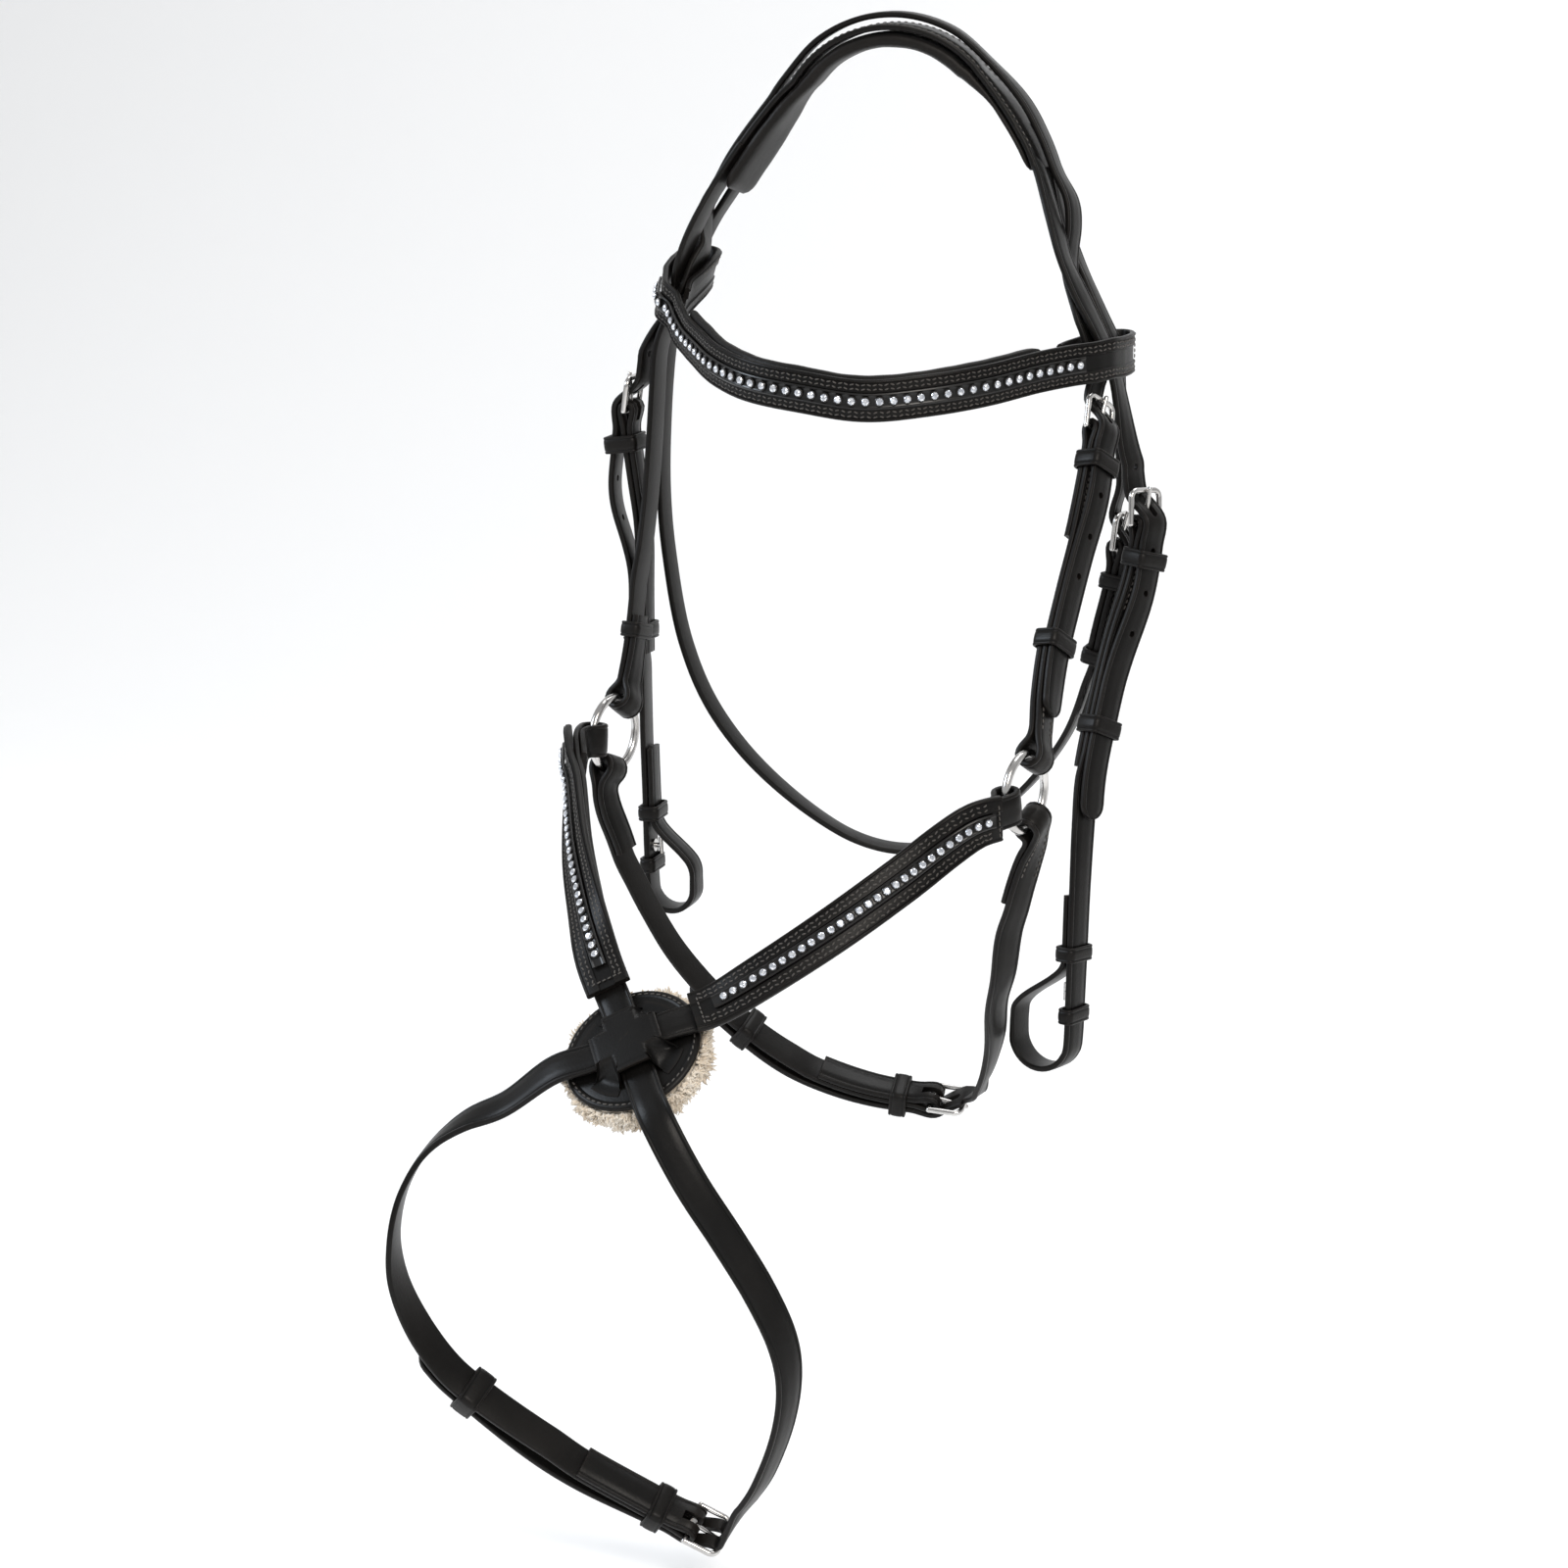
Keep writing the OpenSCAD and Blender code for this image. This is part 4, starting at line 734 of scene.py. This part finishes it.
def facing(path, across, hub):
    """The path turned so that its across direction follows the given one and its outer side looks away."""
    path = path.out_facing(hub)
    return path if (path.a @ across).sum() > 0 else path.signed(-1, 1)


def crown_angle(c):
    return math.atan2(c @ CROWN_X, c @ UP)


def padding_path():
    """Path of the crown padding and where its arc begins and ends in it."""
    flanks = sorted(paths("headpiece_padding")[:2], key=lambda p: p.c[:, 0].mean())
    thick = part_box("headpiece_padding")[1].z / MM - CROWN_R
    low, high = (facing(p, CROWN_AXIS, (0, 0, 0)) for p in flanks)
    low = low if low.c[0][2] < low.c[-1][2] else low.reverse().signed(-1, 1)
    high = high if high.c[0][2] > high.c[-1][2] else high.reverse().signed(-1, 1)
    a = np.linspace(crown_angle(low.c[-1]) + 0.07, crown_angle(high.c[0]) - 0.07, 16)
    o = np.sin(a)[:, None] * CROWN_X + np.cos(a)[:, None] * UP
    arc = Path(o * (CROWN_R + thick / 2), np.repeat(CROWN_AXIS[None], 16, 0), o,
               np.full(16, CROWN["dims"]["length_mm"]), np.full(16, thick))
    return low.join(arc).join(high), len(low.c), len(low.c) + 16


def build_headpiece():
    pad, i, j = padding_path()
    soft = fine(pad, SOFT_STEP)
    shape = loft(soft, roll_section, wave=wave_edges(0.05, soft.length, 3))
    finish(mesh_piece("crown_padding", *shape, SOFT, angle=180), "headpiece_padding")
    edges = ((14.6, 0.86), (-14.6, 0.86))
    seam = stitch_rows(segment(soft, 6, -6), edges, pitch=4.2, length=2.8, r=0.38, lift=-0.6)
    add_stitches("crown_padding_seam", seam, "headpiece_padding")
    raised = pad.t / 2 + 0.4 + 1.5
    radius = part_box("headpiece")[1].z / MM - 1.5
    centre = pad.c + pad.o * raised[:, None]
    centre[i:j] = pad.o[i:j] * radius
    crown = Path(centre, pad.a, pad.o, np.full(len(centre), 36.0), np.full(len(centre), 3.0))
    crown = fine(crown)
    finish(mesh_piece("headpiece_crown", *loft(crown, section), STRAP), "headpiece")
    for number, run in enumerate(paths("headpiece")):
        leg = run.out_facing(HUBS["head"])
        if leg.c[0][2] > leg.c[-1][2]:
            leg = leg.reverse()
        k = nearest(crown, leg.c[-1])
        aside = (leg.c[-1] - crown.c[k]) @ crown.a[k]
        inward = 1 if k < len(crown.c) / 2 else -1
        sign = 1 if leg.a[-1] @ crown.a[k] > 0 else -1
        picks = [min(max(k + inward * int(d / STEP), 0), len(crown.c) - 1) for d in (8, 14, 20, 26)]
        tail = Path([crown.c[p] + crown.a[p] * aside for p in picks], [crown.a[p] * sign for p in picks],
                    [crown.o[p] for p in picks], [leg.w[-1]] * 4, [leg.t[-1] * 0.9] * 4)
        leg = fine(leg.join(tail))
        piece = mesh_piece("headpiece_leg_%d" % number, *loft(leg, section), STRAP)
        cut(piece, punched("headpiece", leg))
        finish(piece, "headpiece")
    rows = stitch_rows(segment(crown, 8, -8), (15.2, -15.2), pitch=3.6)
    add_stitches("headpiece_stitches", rows, "headpiece")


# ---------- keepers, crystals and trims ----------
def keeper_frames(name):
    """Centre, directions and sizes of each rectangular loop in a CAD node."""
    v, f = welded(name)
    near = sharp_graph(v, f)
    groups, left = [], set(near)
    while left:
        group, todo = [], [min(left)]
        left.discard(todo[0])
        while todo:
            x = todo.pop()
            group.append(x)
            fresh = [y for y in near[x] if y in left]
            left.difference_update(fresh)
            todo += fresh
        centre = v[group].mean(0)
        home = next((g for g in groups if dist(v[g].mean(0), centre) < 4), None)
        if home is None:
            groups.append(group)
        else:
            home += group
    for group in groups:
        ways = []
        for a in group:
            for b in near[a]:
                if a > b:
                    continue
                d, size = unit(v[b] - v[a]), dist(v[a], v[b])
                way = next((w for w in ways if abs(w[0] @ d) > 0.98), None)
                if way is None:
                    ways.append((d, [size]))
                else:
                    way[1].append(size)
        along, *rest = sorted(sorted(ways, key=lambda w: -len(w[1]))[:3], key=lambda w: np.ptp(w[1]))
        across, out = sorted(rest, key=lambda w: -max(w[1]))
        yield dict(centre=v[group].mean(0), along=along[0], across=across[0], out=out[0],
                   length=float(np.mean(along[1])), inner=(min(across[1]), min(out[1])),
                   wall=(max(across[1]) - min(across[1])) / 2)


def keeper_path(k, corner=1.5, n=6):
    """Closed path round a keeper, halfway through its wall."""
    hx, hy = k["inner"][0] / 2 + k["wall"] / 2, k["inner"][1] / 2 + k["wall"] / 2
    r = min(corner + k["wall"] / 2, hy * 0.9)
    c, o = [], []
    for quarter, (sx, sy) in enumerate(((1, 1), (-1, 1), (-1, -1), (1, -1))):
        for d in np.radians(np.linspace(0, 90, n) + 90 * quarter):
            way = k["across"] * math.cos(d) + k["out"] * math.sin(d)
            c.append(k["centre"] + k["across"] * sx * (hx - r) + k["out"] * sy * (hy - r) + way * r)
            o.append(way)
    m = len(c)
    return Path(c, [k["along"]] * m, o, [k["length"]] * m, [k["wall"] * 0.92] * m)


def build_keeper(name):
    parts = []
    for k in keeper_frames(name):
        parts.append(loft(keeper_path(k), section, closed=True, line=1.5, sunk=0.3, round_=0.7))
    finish(mesh_piece(name + "_loop", *merge(parts), STRAP), name)


def crosswise(axis):
    """Two directions at right angles to the axis and to each other."""
    x = unit(np.cross(axis, [0.21, 0.64, 0.74]))
    return x, np.cross(axis, x)


# rings of a cut stone: height in mm, share of its radius, and turn in facets
CUT = ((-0.9, 0.78, 0), (-0.25, 1.0, 0), (0.05, 1.0, 0), (0.55, 0.8, 0.5), (0.95, 0.48, 0))


def gem(centre, axis, r, sides=10):
    """Cut stone: girdle, slanted facets and a flat table."""
    x, y = crosswise(axis)
    turn = rng.uniform(0, 1)
    verts = []
    for height, size, shift in CUT:
        verts += [centre + axis * height + (x * math.cos(t) + y * math.sin(t)) * r * size
                  for t in (2 * math.pi * (k + shift + turn) / sides for k in range(sides))]
    faces = []
    for p in range(4):
        for k in range(sides):
            a, b = p * sides + k, p * sides + (k + 1) % sides
            c, d = b + sides, a + sides
            if p == 2:
                faces += [(a, b, d), (b, c, d)]
            elif p == 3:
                faces += [(a, b, c), (a, c, d)]
            else:
                faces.append((a, b, c, d))
    return verts, faces + [tuple(range(4 * sides, 5 * sides)), tuple(range(sides))]


def build_crystals(name, along):
    """A cut stone in place of each of a node's CAD crystals, each in a thin raised rim."""
    v, f = welded(name)
    label = np.arange(len(v))
    while True:
        low = label[f].min(1)
        new = label.copy()
        np.minimum.at(new, f.ravel(), np.repeat(low, 3))
        if (new == label).all():
            break
        label = new
    stones, rims = [], []
    for stone in np.unique(label[f[:, 0]]):
        pts = v[label == stone]
        i = nearest(along, pts.mean(0))
        axis = unit(along.o[i] + np.array([rng.uniform(-0.08, 0.08) for _ in range(3)]))
        centre = (pts.max(0) + pts.min(0)) / 2
        rel = pts - centre
        r = float(np.sqrt(((rel - (rel @ along.o[i])[:, None] * along.o[i]) ** 2).sum(1)).max())
        stones.append(gem(centre, axis, r * 1.02))
        rims.append(rim(centre - along.o[i] * 0.55, along.o[i], r * 1.08))
    piece = mesh_piece(name + "_cut", *merge(stones), CRYSTAL, angle=1)
    for p in piece.data.polygons:
        p.use_smooth = False
    finish(piece, name)
    cups = mesh_piece(name + "_cups", *merge(rims), CHANNEL, angle=60)
    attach(cups, BODY_OF[name])


def rim(centre, axis, r, wire=0.42, sides=14):
    """Thin raised ring round a stone."""
    x, y = crosswise(axis)
    verts, faces = [], []
    for k in range(sides):
        d = x * math.cos(2 * math.pi * k / sides) + y * math.sin(2 * math.pi * k / sides)
        verts += [centre + d * (r + wire * math.cos(t)) + axis * wire * math.sin(t) for t in QUARTERS]
        a, b = k * 4, (k + 1) % sides * 4
        faces += [(a + m, a + (m + 1) % 4, b + (m + 1) % 4, b + m) for m in range(4)]
    return verts, faces


def channel_top(w):
    """Outer face of the glossy strip under the stones, hollow between two fine edges."""
    half = [(w * 0.2, -0.25), (w / 2 - 1.3, -0.2), (w / 2 - 0.8, 0.25)]
    return [(-x, y) for x, y in reversed(half)] + half


def build_channel(name, hub):
    f = fine(paths(name)[0].out_facing(HUBS[hub]), 3)
    finish(mesh_piece(name + "_strip", *loft(f, section, top=channel_top, round_=0.4), CHANNEL), name)
    return f


# ---------- browband ----------
def build_browband():
    hub = HUBS["head"]
    f = fine(paths("browband")[0].out_facing(hub), TRIM_STEP)
    finish(mesh_piece("browband_leather", *loft(f, section, top=trimmed_top, round_=0.9), STRAP), "browband")
    front = segment(f, 78, -78)
    rows = stitch_rows(front, (5.7, 7.9, -5.7, -7.9), pitch=3.0, length=2.2, r=0.4, zigzag=0.35)
    for s0, s1 in ((20, 70), (-70, -20)):
        rows += stitch_rows(segment(f, s0, s1), (7.6, -7.6), pitch=3.0, length=2.2, r=0.4)
    for s in (2, -2):
        rows += cross_row(front, s, 7.9, pitch=2.8, length=2.1, r=0.4)
    add_stitches("browband_stitches", rows, "browband")
    soft = fine(paths("browband_padding")[0].out_facing(hub), SOFT_STEP)
    shape = loft(soft, roll_section, rolls=2, wave=wave_edges(0.04, soft.length, 5))
    finish(mesh_piece("browband_soft_padding", *shape, SOFT, angle=180), "browband_padding")
    build_crystals("browband_crystals", build_channel("browband_crystal_channel", "head"))


# ---------- nose overlays and rosette ----------
def build_overlay(side):
    name = side + "_nose_overlay"
    f = fine(paths(name)[0].out_facing(HUBS["nose"]), TRIM_STEP)
    finish(mesh_piece(name + "_leather", *loft(f, section, top=trimmed_top, round_=1.2), STRAP), name)
    rows = stitch_rows(segment(f, 3, -3), (5.9, 8.3, -5.9, -8.3), pitch=3.0, length=2.2, r=0.42, zigzag=0.35)
    for s in (3, -3):
        rows += cross_row(f, s, 8.3, pitch=2.8, length=2.1, r=0.42)
    add_stitches(name + "_stitches", rows, name)
    build_crystals(side + "_nose_crystals", build_channel(side + "_nose_crystal_channel", "nose"))


def disc_frame(name):
    """Centre, axis (forward), across directions, radius and thickness of a round flat CAD node."""
    v = welded(name)[0]
    c = v.mean(0)
    rel = v - c
    axis = np.linalg.svd(rel, full_matrices=False)[2][2]
    axis = axis if axis[1] < 0 else -axis
    x = unit(np.cross(UP, axis))
    r = float(np.sqrt(((rel - (rel @ axis)[:, None] * axis) ** 2).sum(1)).max())
    return c, x, np.cross(axis, x), axis, r, float(np.ptp(rel @ axis))


def lathe(c, x, y, z, profile, sides=96, wobble=None):
    """Turned shape from a profile of (radius, height). wobble(radius, height, angle) may move a point."""
    verts, faces = [], []
    for r, h in profile:
        for k in range(sides):
            t = 2 * math.pi * k / sides
            rr, hh = (r, h) if wobble is None else wobble(r, h, t)
            verts.append(c + (x * math.cos(t) + y * math.sin(t)) * rr + z * hh)
    n = len(profile)
    for p in range(n - 1):
        for k in range(sides):
            a, b = p * sides + k, p * sides + (k + 1) % sides
            faces.append((a, b, b + sides, a + sides))
    faces += [tuple(range(sides)), tuple(range((n - 1) * sides, n * sides))]
    return verts, faces


def smooth(t):
    t = min(max(t, 0.0), 1.0)
    return t * t * (3 - 2 * t)


def moulded_cap(c, x, y, z, ways, half, top, base, slot=8.7, wall=2.2, sides=288, rings=20):
    """Leather moulded over crossing straps: level over each strap, drawn down to the disc between them."""
    verts = []
    for under in (0, 1):
        for p in range(rings):
            for k in range(sides):
                t = 2 * math.pi * k / sides
                way = x * math.cos(t) + y * math.sin(t)
                aside = min(float(np.linalg.norm(np.cross(way, d))) for d in ways)
                edge = (half - 1.0) / math.sqrt(1 - min(aside, 0.8) ** 2)
                between = smooth((edge * aside - slot) / 0.8)
                reach = edge * (1 - between) + half * 1.5 * between
                r = max(reach * (p / (rings - 1)) ** 0.85, 0.05)
                fall = smooth((r * aside - slot + 0.6) / 1.8) * smooth((r - half * 0.5) / (half * 0.72))
                dome = 0.9 * (1 - (r / half) ** 2) * (1 - fall)
                lip = 0.35 * math.exp(-((r - reach + 1.6) / 0.7) ** 2) * (1 - between)
                high = top * (1 - fall) + (base + 0.5) * fall + dome - lip
                if p == rings - 1:
                    high -= 0 if under else 0.5 * (1 - fall)
                    r -= 0.3 if under else 0
                thick = wall * (1 - fall) + 0.6 * fall
                verts.append(c + way * r + z * (high - thick * under))
    faces = []
    n = rings * sides
    for p in range(rings - 1):
        for k in range(sides):
            a, b = p * sides + k, p * sides + (k + 1) % sides
            faces += [(a, b, b + sides, a + sides), (n + a + sides, n + b + sides, n + b, n + a)]
    last = (rings - 1) * sides
    for k in range(sides):
        a, b = last + k, last + (k + 1) % sides
        faces.append((a, b, n + b, n + a))
    return verts, faces + [tuple(range(sides)), tuple(range(n, n + sides))]


def build_rosette():
    c, x, y, z, r, t = disc_frame("rosette_disc")
    h = t / 2
    profile = [(1, h), (r * 0.5, h), (r - 5.2, h), (r - 4.4, h - 0.35), (r - 3.6, h + 0.05), (r - 1.6, h),
               (r - 0.5, h - 0.5), (r, h - 1.2), (r, -h + 1.2), (r - 0.5, -h + 0.5), (r - 1.6, -h),
               (r * 0.5, -h), (1, -h)]
    finish(mesh_piece("rosette_disc_leather", *lathe(c, x, y, z, profile), STRAP), "rosette_disc")
    n = 64
    a = np.linspace(0, 2 * math.pi, n + 1)
    ring = Path([c + (x * math.cos(k) + y * math.sin(k)) * (r - 2.6) for k in a],
                [x * math.cos(k) + y * math.sin(k) for k in a], [z] * (n + 1), [4] * (n + 1), [t] * (n + 1))
    rows = stitch_rows(ring, (0.01,), start=0, stop=3, pitch=3.4)
    add_stitches("rosette_disc_stitches", rows, "rosette_disc")
    ways = []
    for name in ("near_nose_strap", "off_nose_strap"):
        run = max(paths(name), key=lambda p: -((p.c - c) ** 2).sum(1).min())
        i = nearest(run, c)
        d = run.c[min(i + 1, len(run.c) - 1)] - run.c[i - 1]
        ways.append(unit(d - z * (d @ z)))
    rel = welded("rosette_cap")[0] - c
    top = float((rel @ z).max())
    plate = rel[np.abs(rel @ z - top) < 0.2]
    plate = plate - plate.mean(0)
    half = float(np.linalg.norm(plate - z * (plate @ z)[:, None], axis=1).max()) / math.sqrt(2)
    cap = moulded_cap(c, x, y, z, ways, half, top, h)
    finish(mesh_piece("rosette_cap_leather", *cap, STRAP, angle=50), "rosette_cap")
    build_fleece()


def scatter(spread):
    return np.array([rng.gauss(0, spread) for _ in range(3)])


def build_fleece():
    """Sheepskin pad: a lumpy cushion covered with curled locks."""
    c, x, y, z, r, t = disc_frame("sheepskin_pad")

    def noise(a, b):
        return math.sin(a * 3 + b) * 0.5 + math.sin(a * 7 + b * 2.3) * 0.3 + math.sin(a * 13 + b * 5.1) * 0.2

    def lumps(radius, height, angle):
        return radius + noise(angle * 3, height) * 1.6 - 1.2, height + noise(angle * 5, radius) * 0.4

    h = t / 2
    profile = [(1, h), (r - 6, h), (r - 2.2, h - 0.6), (r - 0.6, h - 3), (r - 1.2, -h + 3.5),
               (r - 4, -h + 0.8), (r - 10, -h), (r * 0.4, -h + 0.6), (1, -h + 0.4)]
    parts = [lathe(c, x, y, z, profile, sides=120, wobble=lumps)]
    for k in range(4200):
        a = rng.uniform(0, 2 * math.pi)
        away = x * math.cos(a) + y * math.sin(a)
        if k % 2:
            up = rng.uniform(-h + 0.5, h - 1.2)
            root = c + away * (r - 1.6) + z * up
            way = unit(away + z * (up / t * 1.3 - 0.15) + scatter(0.35))
        else:
            q = r * math.sqrt(rng.uniform(0, 0.96))
            root = c + away * q - z * (h - 1)
            way = unit(scatter(0.4) - z)
        angle = math.atan2((root - c) @ y, (root - c) @ x)
        length = rng.uniform(2.2, 4.6) * (1.15 + 0.45 * noise(angle * 3, 0.4))
        parts.append(tuft(root, way, length, rng.uniform(0.6, 1.3)))
    finish(mesh_piece("fleece_pad", *merge(parts), FLEECE, angle=180), "sheepskin_pad")


def tuft(root, way, length, r):
    """A curled lock of wool: three short rings and a tip."""
    side = unit(np.cross(way, scatter(1)))
    other = np.cross(way, side)
    verts = []
    bend = rng.uniform(0.2, 0.75) * length
    for s, w in ((0, 1.0), (0.4, 0.95), (0.75, 0.7)):
        mid = root + way * length * s + side * bend * s * s
        verts += [mid + (side * math.cos(q) + other * math.sin(q)) * r * w for q in QUARTERS]
    verts.append(root + way * length * 0.96 + side * bend)
    faces = [(p + k, p + (k + 1) % 4, p + 4 + (k + 1) % 4, p + 4 + k) for p in (0, 4) for k in range(4)]
    faces += [(8 + k, 8 + (k + 1) % 4, 12) for k in range(4)] + [(0, 1, 2, 3)]
    return verts, faces


# ---------- cheekpieces ----------
def build_cheekpiece(side):
    """Strap folded at its buckle and turned up at the bottom into a loop for the bit."""
    name = side + "_cheekpiece"
    loop = MOUNTS[side + "_bit_loop"]
    centre = np.array(loop["pos_m"]) / MM
    long, tail = paths(name)[:2]
    long = long.out_facing(HUBS["head"])
    if long.c[0][2] < long.c[-1][2]:
        long = long.reverse()
    tail = tail if dist(tail.c[0], centre) < dist(tail.c[-1], centre) else tail.reverse()
    radius = loop["dims"]["r_mm"] + 1.45
    down = unit(np.gradient(long.c, axis=0))[-1]
    outward = long.o[-1]
    turn = np.linspace(0, math.pi, 15)[1:-1]
    o = np.cos(turn)[:, None] * outward + np.sin(turn)[:, None] * down
    n = len(o)
    arc = Path(centre + o * radius, np.repeat(long.a[-1:], n, 0), o, np.full(n, 16.0), np.full(n, 3.0))
    tail = tail.part(1, len(tail.c))
    tail = tail.signed(-1 if tail.a[0] @ long.a[-1] < 0 else 1, -1 if tail.o[0] @ o[-1] < 0 else 1)
    f = fine(long.part(0, len(long.c) - 1).join(arc).join(tail))
    piece = mesh_piece(name + "_leather", *loft(f, section), STRAP)
    cut(piece, [disc(bar, pin, 7.2, 2.3) for bar, pin in bars() if ((f.c - bar) ** 2).sum(1).min() < 20])
    s0, s1, rows = fold_rows(f, bar_spot(side + "_cheek_buckle_tongue"), HUBS["head"])
    add_stitches(name + "_stitches", stitch_rows(segment(f, s0, s1), rows, start=1, stop=1), name)
    finish(piece, name)


# ---------- building ----------
build_headpiece()
off_ring, near_ring = ring_spot("off_ring"), ring_spot("near_ring")
strap("noseband_headstrap", joined("noseband_headstrap"), folds=(off_ring,), near=24, far=44)
strap("near_noseband_cheek", paths("near_noseband_cheek")[0],
      folds=(bar_spot("near_noseband_buckle_tongue"), near_ring), near=24)
build_cheekpiece("off")
build_cheekpiece("near")
build_browband()
strap("off_nose_strap", joined("off_nose_strap"), "nose")
strap("near_nose_strap", paths("near_nose_strap")[0], "nose", folds=(bar_spot("chin_buckle_tongue"),))
build_overlay("off")
build_overlay("near")
build_rosette()
strap("off_jowl_strap", paths("off_jowl_strap")[0],
      folds=(off_ring, bar_spot("jowl_buckle_tongue")), near=14, far=44)
strap("near_jowl_strap", joined("near_jowl_strap"), folds=(near_ring,), near=14, far=44)
strap("throatlash", paths("throatlash")[0], folds=(bar_spot("throatlash_buckle_tongue"),), near=24, far=50)
strap("near_throat_billet", paths("near_throat_billet")[0])
for name in frame["nodes"]:
    if "keeper" in name:
        build_keeper(name)
    elif SLOT_OF[name] == "steel":
        frame["nodes"][name].data.materials.clear()
        frame["nodes"][name].data.materials.append(STEEL)


# ---------- floor, light and camera ----------
CAMERA_AIM = (0.0045, -0.149, -0.309)
CAMERA_ANGLES = (24, 13)  # round and up, degrees
CAMERA_DISTANCE = 2.0
SENSOR, LENS = 36, 91.8
# soft boxes: place, size, power and colour
LIGHTS = (((1.6, -1.9, 1.5), 1.1, 42, (1.0, 0.94, 0.87)),
          ((-2.0, -1.3, 1.0), 0.9, 36, (0.8, 0.89, 1.0)),
          ((0.2, 0.9, 2.2), 1.6, 34, (1.0, 1.0, 1.0)))
SKY_STRENGTH = 0.55


def stage():
    """Pale sweep under and behind the bridle, soft studio lights and the photo's viewing angle."""
    low = cad_bounds[0][2] - 0.02
    aim = Vector((cad_bounds[0] + cad_bounds[1]) / 2)
    profile = [(-9, low)] + [(1.2 + 1.5 * math.sin(a), low + 1.5 - 1.5 * math.cos(a))
                             for a in (math.radians(d) for d in range(0, 91, 6))] + [(2.7, low + 9)]
    verts = [(x, y, z) for y, z in profile for x in (-9, 9)]
    mesh = bpy.data.meshes.new("sweep")
    mesh.from_pydata(verts, [], [(2 * k, 2 * k + 1, 2 * k + 3, 2 * k + 2) for k in range(len(profile) - 1)])
    for p in mesh.polygons:
        p.use_smooth = True
    sweep = bpy.data.objects.new("sweep", mesh)
    bpy.context.scene.collection.objects.link(sweep)
    paper = {"Base Color": (0.93, 0.93, 0.93, 1), "Roughness": 0.95, "Specular IOR Level": 0.1}
    mesh.materials.append(nodes_of("pale_paper", paper)[0])
    world = bpy.data.worlds.new("studio")
    bpy.context.scene.world = world
    world.use_nodes = True
    sky = world.node_tree.nodes["Background"]
    sky.inputs["Color"].default_value = (1, 1, 1, 1)
    sky.inputs["Strength"].default_value = SKY_STRENGTH
    for place, size, power, colour in LIGHTS:
        light = bpy.data.lights.new("soft_box", "AREA")
        light.energy, light.size, light.color = power, size, colour
        obj = bpy.data.objects.new("soft_box", light)
        obj.location = place
        obj.rotation_euler = (aim - Vector(place)).to_track_quat("-Z", "Y").to_euler()
        bpy.context.scene.collection.objects.link(obj)
    aim = Vector(CAMERA_AIM)
    az, el = map(math.radians, CAMERA_ANGLES)
    way = Vector((math.sin(az) * math.cos(el), -math.cos(az) * math.cos(el), math.sin(el)))
    lens = bpy.data.cameras.new("camera")
    cam = bpy.data.objects.new("camera", lens)
    cam.location = aim + CAMERA_DISTANCE * way
    cam.rotation_euler = (aim - cam.location).to_track_quat("-Z", "Y").to_euler()
    lens.sensor_width, lens.lens = SENSOR, LENS
    bpy.context.scene.collection.objects.link(cam)
    bpy.context.scene.camera = cam
    bpy.context.scene.view_settings.view_transform = "Standard"


stage()
